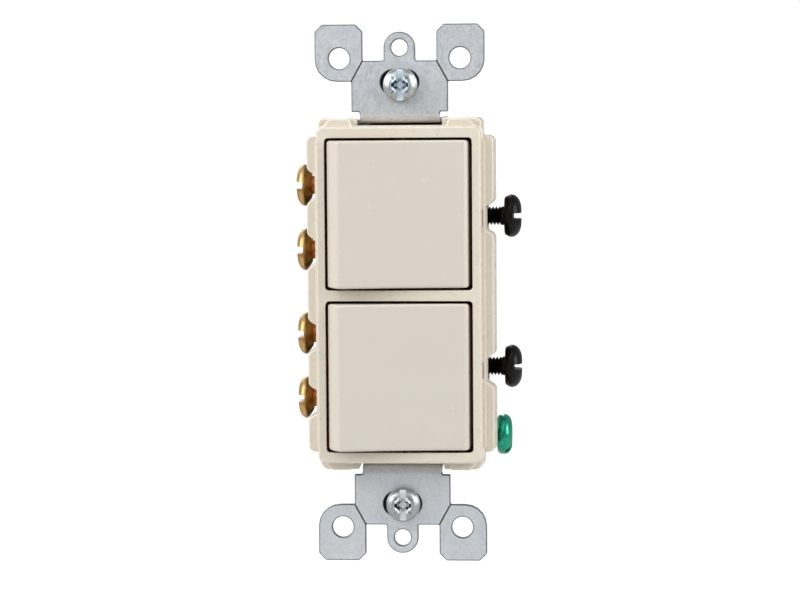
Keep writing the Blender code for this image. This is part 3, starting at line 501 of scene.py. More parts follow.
def galvanised(name, colour, metallic):
    """Galvanised sheet: fine spangle, small dark pits, and faint rolling scuffs."""
    n = Nodes(name, colour, 0.42, metallic)
    wander = n.add("ShaderNodeTexNoise", Vector=n.place, Scale=500.0, Detail=2.0)
    small = n.add("ShaderNodeVectorMath", "SCALE", Vector=wander.outputs["Color"], Scale=0.5 * MM)
    warped = n.add("ShaderNodeVectorMath", "ADD", Vector=n.place)
    n.feed(warped.inputs[1], small.outputs["Vector"])
    grains = n.add("ShaderNodeTexVoronoi", Vector=warped.outputs["Vector"], Scale=2300.0)
    spangle = n.add("ShaderNodeSeparateColor", Color=grains.outputs["Color"]).outputs["Red"]
    base = n.ramp(spangle, (0.0, shade(colour, 0.94)), (0.5, colour), (1.0, shade(colour, 1.04)))
    cloud = n.ramp(n.noise(130, 4.0), (0.3, (0.94, 0.95, 0.96)), (0.7, WHITE))
    pits = n.ramp(n.noise(2600, 3.0), (0.22, (0.68, 0.69, 0.68)), (0.38, WHITE))
    base = n.times(n.times(base, cloud), pits)
    # Painted shade: ambient occlusion darkens the sheet in narrow clefts.
    n.use("Base Color", n.times(base, n.painted_gap_shade((0.1, 0.1, 0.11), 0.9 * MM)))
    scuffs = n.noise(60, 3.0, n.stretched((40, 1, 2)))
    n.use("Roughness", n.maths(n.range(spangle, 0.4, 0.47, (0, 1)), n.range(scuffs, -0.04, 0.05)))
    n.bump(n.maths(n.noise(1500, 3.0), n.maths(spangle, 0.35, "MULTIPLY")), 0.0018 * MM)
    return n.material


def turned_metal(name, colours, roughness, tarnish, relief=0.008 * MM, middle=None, wall_shade_colour=None):
    """Turned or rolled metal: tool rings about the axis, tarnish in patches, small nicks.

    Near the axis, as in the recess of a screw, a lighter colour is painted on the level bottoms of
    the recess as a highlight, and a darker colour is painted on its upright sides as shade.
    """
    n = Nodes(name, colours[1], roughness, 0.85)
    rings = n.noise(300, 2.0, n.stretched((0.4, 0.4, 30)))
    patches = n.noise(420, 4.0)
    base = n.ramp(patches, (0.32, colours[0]), (0.5, colours[1]), (0.68, colours[2]))
    lines = n.ramp(rings, (0.3, (tarnish,)), (0.6, (1.0,)))
    if wall_shade_colour:
        from_axis = n.add("ShaderNodeVectorMath", "LENGTH", Vector=n.stretched((1, 1, 0)))
        out = from_axis.outputs["Value"]
        inside = n.range(out, 1.0, 0.0, (1.85 * MM, 2.0 * MM))
        on_head = n.range(out, 1.0, 0.0, (3.1 * MM, 3.2 * MM))
        facing = n.add("ShaderNodeTexCoord").outputs["Normal"]
        level = n.add("ShaderNodeSeparateXYZ", Vector=facing).outputs["Z"]
        level = n.maths(level, 0.0, "MAXIMUM")
        # Painted highlight: level faces inside the head get the lighter middle colour, and less
        # metal shine.
        painted_floor_highlight = n.maths(on_head, n.range(level, 0.0, 1.0, (0.97, 0.99)), "MULTIPLY")
        base = n.blend(base, middle, painted_floor_highlight)
        n.use("Metallic", n.range(painted_floor_highlight, 0.9, 0.3, (0.0, 1.0)))
        # Painted shade: upright faces near the axis are darkened.
        painted_wall_shade = n.ramp(level, (0.72, wall_shade_colour), (0.9, WHITE))
        base = n.times(base, n.blend(WHITE, painted_wall_shade, inside))
    # Painted shade: ambient occlusion darkens narrow clefts.
    base = n.times(base, n.painted_gap_shade((0.08, 0.1, 0.12), 0.6 * MM))
    n.use("Base Color", n.times(base, lines))
    n.use("Roughness", n.range(n.noise(900, 3.0), roughness - 0.08, roughness + 0.12))
    n.bump(n.maths(rings, n.noise(1800, 3.0)), relief)
    return n.material


def coated(name, colour, roughness, coat, relief):
    """Dyed or blackened steel: a glossy film over fine grain, thin in places."""
    n = Nodes(name, colour, roughness, 0.5)
    n.use("Specular IOR Level", 0.3)
    n.use("Coat Weight", coat)
    n.use("Coat Roughness", 0.12)
    film = n.noise(700, 4.0)
    tones = (0.3, shade(colour, 0.7)), (0.6, colour), (0.8, shade(colour, 1.7))
    n.use("Base Color", n.ramp(film, *tones))
    n.use("Roughness", n.range(n.noise(1500, 3.0), roughness - 0.08, roughness + 0.12))
    n.bump(n.maths(n.noise(2400, 3.0), film), relief)
    return n.material


# Each finish: what its function takes after its name, in the function's order.
MOULDED = {
    "almond_plastic": ((0.64, 0.585, 0.49), 0.28, 2600, 0.0025 * MM),
    # The rocker's last two values paint shade: a dark brown deep in its clefts, and wider bounds
    # that reach up the sides beside them.
    "rocker_plastic": (
        (0.578, 0.53, 0.459), 0.26, 2600, 0.003 * MM, (0.2, 0.045, 0.012), (0.3, 0.56)
    ),
    "housing_plastic": ((0.035, 0.032, 0.030), 0.5, 1500, 0.03 * MM),
    "nylon": ((0.80, 0.78, 0.70), 0.4, 1500, 0.01 * MM),
    "fibre": ((0.03, 0.022, 0.018), 0.75, 900, 0.05 * MM),
}
GALVANISED = {
    "galvanised_steel": ((0.72, 0.745, 0.765), 0.8),
    # Painted shade: a near-black finish for the ears' edges, standing in for the shade along them.
    "sheared_edge": ((0.1, 0.105, 0.11), 0.25),
}
TURNED = {
    "spring_steel": (((0.30, 0.30, 0.31), (0.42, 0.42, 0.43), (0.5, 0.5, 0.5)), 0.3, 0.8),
    "copper_alloy": (((0.45, 0.2, 0.09), (0.62, 0.33, 0.17), (0.7, 0.42, 0.24)), 0.33, 0.85),
    "silver": (((0.66, 0.65, 0.62), (0.82, 0.81, 0.78), (0.9, 0.9, 0.88)), 0.22, 0.9),
    "terminal_brass": (((0.44, 0.27, 0.09), (0.6, 0.41, 0.17), (0.7, 0.5, 0.25)), 0.32, 0.85),
    "brass_screw": (((0.28, 0.12, 0.03), (0.5, 0.29, 0.09), (0.66, 0.44, 0.18)), 0.42, 0.8),
    "screw_shank": (((0.36, 0.08, 0.015), (0.6, 0.19, 0.04), (0.74, 0.32, 0.09)), 0.33, 0.7),
    "zinc_thread": (((0.3, 0.31, 0.32), (0.42, 0.43, 0.44), (0.55, 0.55, 0.55)), 0.35, 0.85),
    # For the zinc heads, the last two colours are a painted highlight on the level bottoms of the
    # recess and painted shade on its upright sides.
    "zinc_screw": (
        ((0.32, 0.33, 0.34), (0.38, 0.39, 0.4), (0.44, 0.45, 0.46)), 0.35, 0.95,
        0.002 * MM, (0.92, 0.93, 0.94), (0.05, 0.055, 0.06),
    ),
    "blue_zinc": (
        ((0.36, 0.38, 0.38), (0.43, 0.45, 0.45), (0.5, 0.52, 0.52)), 0.35, 0.95,
        0.002 * MM, (0.74, 0.9, 0.98), (0.02, 0.09, 0.15),
    ),
}
COATED = {
    "black_screw": ((0.004, 0.0028, 0.002), 0.38, 0.04, 0.01 * MM),
    "green_screw": ((0.001, 0.31, 0.18), 0.24, 0.35, 0.02 * MM),
}
FINISHES = ((moulded, MOULDED), (galvanised, GALVANISED), (turned_metal, TURNED), (coated, COATED))
MATERIALS = {name: make(name, *values) for make, kind in FINISHES for name, values in kind.items()}


# Front cover.


def screw_heights(side):
    """Heights of the terminal screws on one side of the cover, top one first."""
    kind = "common_screw" if side > 0 else "traveller_screw"
    names = [name for name in frame["nodes"] if name.startswith(kind)]
    return sorted((middle_of(name).z for name in names), reverse=True)


def shelf_outline():
    """The flange and ends of the cover, with a notch beside each terminal screw."""
    notch = [(FLANGE_HALF[0], 3.3 * MM, 1.3 * MM), (NOTCH_X, 2.15 * MM, 0.5 * MM)]
    corners = []
    for side, end in QUARTERS:
        quarter_corners = [
            (FLANGE_HALF[0], FLANGE_HALF[1], 1.2 * MM),
            (END_HALF[0], FLANGE_HALF[1], 0.4 * MM),
            (END_HALF[0], END_HALF[1], END_CORNER_R[end]),
            (STRAP_NOTCH[0], END_HALF[1], 0.9 * MM),
            (STRAP_NOTCH[0], STRAP_NOTCH[1], 0.3 * MM),
        ]
        corners += mirrored(quarter_corners, side, end)
        if side * end < 0:
            heights = screw_heights(side)
            for height in heights if side < 0 else heights[::-1]:
                corners += [(side * x, height + end * z, r) for x, z, r in notch]
                corners += [(side * x, height - end * z, r) for x, z, r in notch[::-1]]
    return filleted(corners)


def boss(side, end):
    """A raised boss at one corner of the cover, narrower at its outer end."""
    inner, tip_inner, tip_outer, outer = BOSS_X
    root, bend_z, tip = BOSS_Z
    corners = [
        (inner, root, 0),
        (outer, root, 0),
        (outer, bend_z, 0.5 * MM),
        (tip_outer, tip, 0.7 * MM),
        (tip_inner, tip, 0.7 * MM),
        (inner, bend_z, 0.5 * MM),
    ]
    outline = filleted(mirrored(corners, side, end))
    return slab(outline, BOSS_FRONT, SHELF_Y + MM, edge=0.45 * MM)


def front_cover():
    """Moulded cover: bezel with round edges, stepped flange, end bosses, two windows."""
    shelf = slab(shelf_outline(), SHELF_Y, COVER_REAR, edge=0.35 * MM, draft=COVER_DRAFT)
    cover = link("cover_moulding", shelf)
    step_outline = rectangle(STEP_X, FLANGE_HALF[1] - 0.4 * MM, 1.0 * MM)
    step = slab(step_outline, STEP_Y, SHELF_Y + MM, edge=0.2 * MM)
    bezel_outline = rectangle(*BEZEL_HALF, BEZEL_CORNER_R, steps=8)
    bezel = slab(bezel_outline, COVER_FRONT, STEP_Y + 0.3 * MM, edge=0.42 * MM, foot=0.4 * MM)
    combine(cover, "UNION", step, bezel)
    for end in (1, -1):
        for side in (1, -1):
            combine(cover, "UNION", boss(side, end))
    half = (WINDOW_Z[1] - WINDOW_Z[0]) / 2
    wider, higher, deeper = WINDOW_ROOM
    for (_, sign), height in zip(SWITCHES, screw_heights(1)):
        middle = (0, sign * sum(WINDOW_Z) / 2)
        opening = rectangle(WINDOW_HALF_WIDTH, half, 0.7 * MM, middle)
        cutter = window_cutter(opening, COVER_FRONT, COVER_REAR + MM, WINDOW_LIP)
        room = rectangle(WINDOW_HALF_WIDTH + wider, half + higher, 0.3 * MM, middle)
        combine(cover, "DIFFERENCE", cutter, slab(room, COVER_FRONT + deeper, COVER_REAR + MM))
        strap_room = moved(box(*STRAP_ROOM), Matrix.Rotation(0 if sign > 0 else math.pi, 4, "Y"))
        combine(cover, "DIFFERENCE", strap_room, moved(box(*SLIT), shift(0, 0, height)))
    bore = cylinder(HINGE_BORE_R, 2 * (WINDOW_Z[1] + TRUNNION[1]))
    combine(cover, "DIFFERENCE", moved(bore, shift(0, ROCKER_HINGE.y, 0)))
    for corner in (1, 2, 3, 4):
        x, _, z = middle_of(f"housing_screw_{corner}")
        pilot = cylinder(PILOT[0], 2 * PILOT[1], 24)
        combine(cover, "DIFFERENCE", moved(pilot, shift(x, COVER_REAR, z), FRONT))
    finished(cover, "device", "front_cover", "almond_plastic")


# Rockers.


def rocker_outline():
    """The rocker's section across its hinge: round side walls, round corners and a dished face."""
    crest = math.radians(ROCKER_CREST_ANGLE)
    crest_x = ROCKER_R * math.cos(crest)
    crest_y = -ROCKER_R * math.sin(crest)
    dish_r = (crest_x**2 + ROCKER_DISH**2) / (2 * ROCKER_DISH)
    dish_y = crest_y + ROCKER_DISH - dish_r
    near = ROCKER_R - ROCKER_CORNER_R
    far = dish_r + ROCKER_CORNER_R
    corner_y = (near**2 - far**2 + dish_y**2) / (2 * dish_y)
    corner_x = math.sqrt(near**2 - corner_y**2)
    wall_end = math.degrees(math.atan2(-corner_y, corner_x))
    face_end = math.degrees(math.atan2(corner_x, corner_y - dish_y))
    skirt = ROCKER_SKIRT_ANGLE
    skirt_y = -ROCKER_R * math.sin(math.radians(skirt))
    boss_r = 2.6 * MM
    corner = (corner_x, corner_y)
    right = arc((0, 0), ROCKER_R, -skirt, -wall_end, 8)
    right += arc(corner, ROCKER_CORNER_R, -wall_end, -90 - face_end, 8)[1:-1]
    face = arc((0, dish_y), dish_r, 90 - face_end, 90 + face_end, 24)
    left = [(-x, y) for x, y in right[::-1]]
    foot = [(-2 * boss_r, skirt_y), *arc((0, 0), boss_r, 180, 0, 12), (2 * boss_r, skirt_y)]
    return (right + face + left + foot)[::-1]


def rocker(switch, sign):
    """Rocker with a dished face and round edges, hollow behind, with its stem and trunnions."""
    outline = [(x - ROCKER_OFFSET, y) for x, y in rocker_outline()]
    half = ROCKER_HALF_LENGTH
    body = half - ROCKER_EDGE
    rim = quarter(ROCKER_EDGE)
    layers = [(inset(outline, a), -body - b) for a, b in rim[::-1]]
    layers += [(inset(outline, a), body + b) for a, b in rim]
    item = link(f"rocker_moulding_{switch}", stack(layers))
    trunnions = cylinder(TRUNNION[0], 2 * (half + TRUNNION[1]))
    inner_x = ROCKER_R - ROCKER_WALL
    skirt_y = -ROCKER_R * math.sin(math.radians(ROCKER_SKIRT_ANGLE))
    open_y = 4 * MM
    hollow = [(inner_x, open_y), (inner_x, skirt_y), HOLLOW_ROOF]
    hollow = [(-x, y) for x, y in hollow] + hollow[::-1]
    depth = half - ROCKER_WALL
    stem, bore = (
        moved(cylinder(radius, length), shift(0, y, 0), FRONT)
        for radius, length, y in (STEM, STEM_BORE)
    )
    combine(item, "UNION", trunnions)
    combine(item, "DIFFERENCE", stack([(hollow, -depth), (hollow, depth)]))
    combine(item, "UNION", stem)
    combine(item, "DIFFERENCE", bore)
    hinge = shift(0, ROCKER_HINGE.y, sign * ROCKER_HINGE.z)
    item.data.transform(hinge @ Matrix.Rotation(ROCKER_TILT, 4, "Z"))
    finished(item, f"rocker_{switch}", f"rocker_{switch}", "rocker_plastic")


# Strap.


def plate(outline, holes, thickness, edge):
    """A flat plate with broken edges in the XY plane, half above and half below."""
    curve = bpy.data.curves.new("outline", "CURVE")
    curve.dimensions = "2D"
    curve.fill_mode = "BOTH"
    curve.extrude = thickness / 2 - edge
    curve.bevel_depth = edge
    curve.bevel_resolution = 1
    curve.offset = -edge
    for ring in (outline, *(hole[::-1] for hole in holes)):
        spline = curve.splines.new("POLY")
        spline.points.add(len(ring) - 1)
        for point, (x, y) in zip(spline.points, ring):
            point.co = (x, y, 0, 1)
        spline.use_cyclic_u = True
    holder = link("outline", curve)
    bake = holder.evaluated_get(bpy.context.evaluated_depsgraph_get())
    work = bmesh.new()
    work.from_mesh(bpy.data.meshes.new_from_object(bake))
    bpy.data.objects.remove(holder)
    bmesh.ops.remove_doubles(work, verts=work.verts, dist=TINY)
    for _ in range(2):
        bmesh.ops.dissolve_degenerate(work, edges=work.edges, dist=TINY)
    bmesh.ops.recalc_face_normals(work, faces=work.faces)
    return as_mesh(work, "plate")


def bend(mesh, around, start, span, steps=8):
    """Fold a sheet by a right angle towards +Z, in a frame where its length runs along X."""
    length = BEND_R * math.pi / 2
    work = bmesh.new()
    work.from_mesh(mesh)
    bmesh.ops.transform(work, matrix=around, verts=work.verts)
    for step in range(steps + 1):
        everything = work.verts[:] + work.edges[:] + work.faces[:]
        at = (start + length * step / steps, 0, 0)
        bmesh.ops.bisect_plane(work, geom=everything, plane_co=at, plane_no=(1, 0, 0))
    for vertex in work.verts:
        x, y, z = vertex.co
        if x <= start or not span[0] <= y <= span[1]:
            continue
        angle = min((x - start) / BEND_R, math.pi / 2)
        rest = max(x - start - length, 0)
        vertex.co.x = start + (BEND_R - z) * math.sin(angle)
        vertex.co.z = BEND_R - (BEND_R - z) * math.cos(angle) + rest
    bmesh.ops.transform(work, matrix=around.inverted(), verts=work.verts)
    work.to_mesh(mesh)
    work.free()


def strap():
    """Galvanised strap, folded from one blank, with broken edges and scored break-off ears."""
    length = BEND_R * math.pi / 2
    leg_start = LEG_Z - BEND_R
    leg = (BAND_Y - BEND_R) - (-STRAP_T / 2 + BEND_R)
    ear_start = leg_start + length + leg
    lift = ear_start + length - (LEG_Z + BEND_R)
    arm_start = ARM_X - BEND_R
    arm_zero = arm_start + length + BAND_Y - BEND_R
    clip = 1.4 * MM
    quadrant = [
        (BAND_HALF_WIDTH, SHOULDER_Z, 0.3 * MM),
        (PLATE_HALF_WIDTH, SHOULDER_Z, 0.25 * MM),
        (PLATE_HALF_WIDTH, EAR_ROOT_Z, 0.3 * MM),
        (EAR_X[1], EAR_ROOT_Z, 4.3 * MM),
        (EAR_X[1], STRAP_HALF_LENGTH - clip, 0.5 * MM),
        (EAR_X[1] - clip, STRAP_HALF_LENGTH, 0.5 * MM),
        (EAR_X[0] + clip, STRAP_HALF_LENGTH, 0.5 * MM),
        (EAR_X[0], STRAP_HALF_LENGTH - clip, 0.5 * MM),
        (EAR_X[0], NOTCH_Z, 0.25 * MM),
        (TAB_HALF_WIDTH, NOTCH_Z, 0.35 * MM),
    ]
    tab = arc((0, PLATE_SCREW[0]), TAB_HALF_WIDTH, 0, 81, 9)
    quadrant += [(x, z, 0) for x, z in tab]
    blank = all_quarters([(x, z + lift, r) for x, z, r in quadrant])
    front_edge = arm_zero - ARM_Y[0]
    rear_edge = arm_zero - ARM_Y[1]
    blank += [
        (BAND_HALF_WIDTH, ARM_Z[1], 0.8 * MM),
        (rear_edge, ARM_Z[1], 0.8 * MM),
        (rear_edge, ARM_Z[2], 0.8 * MM),
        (front_edge, ARM_Z[2], 0.8 * MM),
        (front_edge, ARM_Z[0], 0.8 * MM),
        (BAND_HALF_WIDTH, ARM_Z[0], 0.8 * MM),
    ]
    holes = [circle((arm_zero - GROUND_HOLE[0], GROUND_HOLE[1]), GROUND_HOLE[2])]
    for end in (1, -1):
        slot_x = BOX_SLOT[0] - BOX_SLOT[1]
        slot_z = end * (BOX_SLOT_Z + lift)
        holes.append(
            arc((slot_x, slot_z), BOX_SLOT[1], -90, 90, 20)
            + arc((-slot_x, slot_z), BOX_SLOT[1], 90, 270, 20)
        )
        holes.append(circle((0, end * (PLATE_SCREW[0] + lift)), PLATE_SCREW[1]))
        for side in (1, -1):
            holes.append(circle((side * EAR_HOLE[0], end * (EAR_HOLE[1] + lift)), EAR_HOLE[2]))
    mesh = plate(filleted(blank), holes, STRAP_T, 0.2 * MM)
    bend(mesh, Matrix(), arm_start, (ARM_Z[2] - MM, ARM_Z[0] + 0.3 * MM))
    for turn_by in (-90, 90):
        lengthwise = Matrix.Rotation(math.radians(turn_by), 4, "Z")
        away = Matrix.Rotation(math.pi, 4, "X") @ lengthwise
        bend(mesh, away, ear_start, (-1, 1))
        bend(mesh, lengthwise, leg_start, (-1, 1))
    item = link("strap_sheet", moved(mesh, shift(0, BAND_Y, 0), FRONT))
    for end in (1, -1):
        for side in (1, -1):
            combine(item, "DIFFERENCE", score_line(side, end))
    finished(item, "device", "strap", "galvanised_steel", angle=50)
    # Painted shade: the bevels and sides of the ears get the near-black finish, standing in for the
    # dark shade along their edges.
    item.data.materials.append(MATERIALS["sheared_edge"])
    for face in item.data.polygons:
        in_edge_shade = abs(face.normal.y) < 0.95 and abs(face.center.z) > SHOULDER_Z - 0.5 * MM
        face.material_index = int(in_edge_shade)
        face.use_smooth = max(abs(c) for c in face.normal) < 0.999


def score_line(side, end):
    """A V groove across the root of an ear, where it snaps off."""
    past_x = 0.3 * MM
    past_z = 0.5 * MM
    start = Vector((side * (EAR_X[0] - past_x), end * (NOTCH_Z + past_z)))
    finish = Vector((side * (PLATE_HALF_WIDTH + past_x), end * (EAR_ROOT_Z - past_z)))
    along = finish - start
    half = 0.15 * MM
    depth = 0.25 * MM
    rise = 0.1 * MM
    wide = half * (1 + rise / depth)
    groove = stack([([(-wide, rise), (0, -depth), (wide, rise)], z) for z in (0, along.length)])
    direction = Vector((along.x, 0, along.y)).normalized()
    outward = Vector((0, -1, 0))
    across = outward.cross(direction)
    turn = Matrix((across, outward, direction)).transposed().to_4x4()
    return moved(groove, shift(start.x, -STRAP_T, start.y), turn)


# Screws.


def thread(axial, angle, pitch):
    """Depth share of a V thread: 0 at its crest, 1 at its root."""
    phase = (axial / pitch - angle / (2 * math.pi)) % 1
    return abs(2 * phase - 1)


def turned(rows, pitch, sides=48):
    """A closed turned solid about Z from (height, radius, thread share) rows."""
    rings = []
    for height, radius, share in rows:
        ring = []
        for i in range(sides):
            angle = 2 * math.pi * i / sides
            r = radius - share * THREAD_DEPTH * thread(height, angle, pitch)
            ring.append((r * math.cos(angle), r * math.sin(angle), height))
        rings.append(ring)
    return skin(rings)


def screw_rows(head, radius, length, pitch, plain, neck):
    """Rows of a screw, tip first: threaded shank, plain part below the neck, then the head."""
    per_turn = 12
    tip, lead = 0.62, 0.78
    count = int((length + neck - plain) / pitch * per_turn)
    rows = [(-length, tip * radius, 0)]
    for i in range(1, count + 1):
        height = -length + i * pitch / per_turn
        share = min(1, i / per_turn, (count - i) / per_turn)
        rows.append((height, radius * min(1, lead + (1 - lead) * i / per_turn), share))
    rows.append((neck - 0.02 * MM, radius * 0.97, 0))
    return rows + [(height, r, 0) for height, r in head]


def dome(radius, low, high, flat, steps=7):
    """Head profile from its widest place up to its flat crown."""
    angles = (math.pi / 2 * i / steps for i in range(steps + 1))
    return [
        (low + (high - low) * math.sin(a), flat + (radius - flat) * math.cos(a)) for a in angles
    ]


def screw(node, axis, head, shank, cutters, look, plain=0.3 * MM, neck=0.0):
    """A screw with real threads, cut for its driver, in the place of its CAD node.

    shank is its radius, length and pitch. look is its material slot, then the finish of its head,
    then that of its shank if different.
    """
    mesh = turned(screw_rows(head, *shank, plain, neck), shank[2])
    item = link(node + "_turned", mesh)
    slot, *finishes = look
    for name in finishes:
        mesh.materials.append(MATERIALS[name])
    if len(finishes) > 1:
        for face in mesh.polygons:
            face.material_index = int(face.center.z < neck + 0.01 * MM)
    combine(item, "DIFFERENCE", *cutters)
    turn = axis.to_track_quat("Z", "X").to_matrix().to_4x4()
    item.matrix_world = Matrix.Translation(seat_of(node, axis, head[-1][0])) @ turn
    body = next(b for b, names in frame["record"]["behaviour"]["bodies"].items() if node in names)
    finished(item, body, node, slot)


def seat_of(node, axis, head_height):
    """Where a screw's head meets its seat: behind the head's crown, on the screw's axis."""
    middle = middle_of(node)
    reach = max(abs(axis.dot(corner - middle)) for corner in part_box(node))
    return middle + axis * (reach - head_height)


def driver_slot(width, depth, top, radius, angle):
    """A straight slot across a head."""
    bar = box((-width / 2, -radius - MM, top - depth), (width / 2, radius + MM, top + MM))
    return moved(bar, Matrix.Rotation(angle, 4, "Z"))


def cross_recess(reach, width, depth, top):
    """A tapered cross recess: two wings at right angles."""
    wings = []
    for turn_by in (0, math.pi / 2):
        layers = [
            (rectangle(0.39 * width, 0.6 * reach, 0), top - depth),
            (rectangle(0.5 * width, reach, 0), top + 0.3 * MM),
        ]
        wings.append(moved(stack(layers), Matrix.Rotation(turn_by, 4, "Z")))
    return wings


def diamond_recess(half, floor_r, depth, top):
    """A square pit on its corner whose walls close in on a round floor."""
    mouth = rectangle(half, half, 0.2 * half)
    floor = [tuple(Vector(point).normalized() * floor_r) for point in mouth]
    wide = inset(mouth, -0.1 * MM)
    layers = [(floor, top - depth), (mouth, top - 0.1 * MM), (wide, top + MM)]
    return moved(stack(layers), Matrix.Rotation(math.pi / 4, 4, "Z"))


def terminal_screws(kind, side, rim, crown, slot, look, neck=0.0):
    """Every screw of one kind, sizes in millimetres.

    rim has (height, radius) rows. crown is its widest radius, that place's height, its top and its
    flat's radius. slot is its width, its depth and its turn in degrees.
    """
    radius, low, top, flat = (size * MM for size in crown)
    width, depth, turn_by = slot
    head = [(height * MM, r * MM) for height, r in rim] + dome(radius, low, top, flat)
    cutter = driver_slot(width * MM, depth * MM, top, radius, math.radians(turn_by))
    for node in frame["nodes"]:
        if node.startswith(kind):
            axis = Vector((side, 0, 0))
            screw(node, axis, head, TERMINAL_SCREW, [cutter], look, neck=neck * MM)


def all_terminal_screws():
    """Brass traveller screws, backed-out black common screws and the green ground screw."""
    rim = ((0.12, 2.0), (0.2, 2.6), (1.1, 3.9), (1.3, 4.12))
    look = ("brass_screw", "brass_screw", "screw_shank")
    crown = (4.2, 1.5, 3.05, 1.7)
    terminal_screws("traveller_screw", -1, rim, crown, (1.45, 1.4, 0), look, neck=0.12)
    rim = ((0, 3.5), (0.12, 3.75), (0.8, 4.15), (1.1, 4.25))
    look = ("black_screw", "black_screw")
    terminal_screws("common_screw", 1, rim, (4.25, 1.35, 3.3, 1.6), (1.2, 1.6, 0), look)
    rim = ((0, 3.4), (0.15, 3.7), (0.6, 3.93), (1.1, 4.0))
    look = ("green_screw", "green_screw")
    terminal_screws("ground_screw", 1, rim, (4.0, 1.4, 2.85, 2.1), (1.3, 1.3, 55), look)


def box_screws():
    """Screws for the wall box: an upright slot, a diamond pit with side wings, and corner ticks."""
    radius = 3.4 * MM
    top = 2.2 * MM
    head = [(0, 3.05 * MM), (0.1 * MM, 3.3 * MM), (0.35 * MM, radius)]
    head += dome(radius, 0.5 * MM, top, 1.2 * MM, 12)
    cutters = [driver_slot(1.3 * MM, 0.8 * MM, top, radius, math.pi / 2)]
    cutters += cross_recess(1.9 * MM, 0.85 * MM, 0.95 * MM, top)
    cutters.append(diamond_recess(1.24 * MM, 0.86 * MM, 1.15 * MM, top))
    for diagonal in (45, 135, 225, 315):
        tick = box((1.6 * MM, -0.14 * MM, top - 0.45 * MM), (2.5 * MM, 0.14 * MM, top + MM))
        cutters.append(moved(tick, Matrix.Rotation(math.radians(diagonal), 4, "Z")))
    for node, finish in (("box_screw_top", "blue_zinc"), ("box_screw_bottom", "zinc_screw")):
        look = ("zinc_screw", finish, "zinc_thread")
        screw(node, Vector((0, -1, 0)), head, BOX_SCREW, cutters, look, plain=1.2 * MM)


def housing_screws():
    """Pan-head screws that hold the housing to the cover."""
    top = 1.5 * MM
    recess = cross_recess(1.15 * MM, 0.65 * MM, 0.85 * MM, top)
    look = ("zinc_screw", "zinc_screw", "zinc_thread")
    for corner in (1, 2, 3, 4):
        node = f"housing_screw_{corner}"
        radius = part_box(node)[1].x - middle_of(node).x
        head = [(0, radius - 0.15 * MM), (0.12 * MM, radius)]
        head += dome(radius, 0.5 * MM, top, 0.8 * MM)
        screw(node, Vector((0, 1, 0)), head, HOUSING_SCREW, recess, look, plain=6 * MM)


# Rear housing and the mechanism.


def joined(*meshes):
    """One mesh of several separate solids."""
    work = bmesh.new()
    for mesh in meshes:
        work.from_mesh(mesh)
    return as_mesh(work, "joined")


def rear_housing():
    """Moulded body with barrier ribs at its sides, and wiring holes and a strip gauge behind."""
    work = bmesh.new()
    work.from_mesh(frame["nodes"]["rear_housing"].data)
    bmesh.ops.remove_doubles(work, verts=work.verts, dist=TINY)
    flat = math.radians(1)
    bmesh.ops.dissolve_limit(work, angle_limit=flat, verts=work.verts, edges=work.edges)
    item = link("housing_moulding", as_mesh(work, "housing"))
    wall, rear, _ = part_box("rear_housing")[1]

    def sunk(mesh, x, z):
        return moved(mesh, shift(x, rear, z), FRONT)

    def pit(half_x, half_z, radius, depth):
        outline = rectangle(half_x, half_z, radius)
        return stack([(outline, -depth), (outline, depth)])

    holes = []
    for side in (1, -1):
        x = side * WIRE_HOLE_X
        for height in screw_heights(side):
            holes.append(sunk(cylinder(1.25 * MM, 3 * MM, 24), x, height))
            holes.append(sunk(pit(1.5 * MM, 0.55 * MM, 0.3 * MM, 1.2 * MM), x, height + 2.8 * MM))
    holes.append(sunk(pit(3.0 * MM, 0.5 * MM, 0.5 * MM, 0.4 * MM), STRIP_GAUGE_X, 0))
    combine(item, "DIFFERENCE", joined(*holes))
    ribs = []
    for side, reach, heights in SIDE_RIBS:
        near, far = sorted((side * (wall - RIB_FOOT), side * (wall + reach)))
        for z in heights:
            ribs.append(box((near, RIB_Y[0], z - RIB_HALF), (far, RIB_Y[1], z + RIB_HALF)))
    combine(item, "UNION", joined(*ribs))
    finished(item, "device", "rear_housing", "housing_plastic")


def dress(node, slot, edge):
    """Keep a CAD piece, with broken edges and a finish of its own."""
    item = frame["nodes"][node]
    for place in item.material_slots:
        place.material = MATERIALS[slot]
    break_edges(item, edge, 40)


def contact_arm(switch, hinge):
    """Stamped see-saw strip with round ends, a waist at each side and a groove it rocks on."""
    corners = all_quarters(
        [
            (9.9 * MM, 2.4 * MM, 0.9 * MM),
            (6.2 * MM, 2.4 * MM, 1.2 * MM),
            (4.2 * MM, 3.0 * MM, 1.2 * MM),
        ]
    )
    item = link(f"contact_arm_{switch}_stamped", slab(filleted(corners), -0.9 * MM, 0))
    groove = [(-0.25 * MM, 0.01 * MM), (0, -0.14 * MM), (0.25 * MM, 0.01 * MM)]
    combine(item, "DIFFERENCE", stack([(groove, -4 * MM), (groove, 4 * MM)]))
    item.data.transform(hinge @ Matrix.Rotation(-CONTACT_TILT, 4, "Z"))
    finished(item, f"arm_{switch}", f"contact_arm_{switch}", "copper_alloy", edge=0.12 * MM)


def contact_button():
    """A rivet contact about Z, its base down and a low dome on top."""
    radius, height = CONTACT_SIZE
    rows = [(0, 0.94), (0.08 * MM / height, 1), (0.5, 1), (0.72, 0.94), (0.9, 0.75), (0.98, 0.42)]
    rows.append((1, 0.1))
    return stack([(circle((0, 0), r * radius, 32), z * height) for z, r in rows])


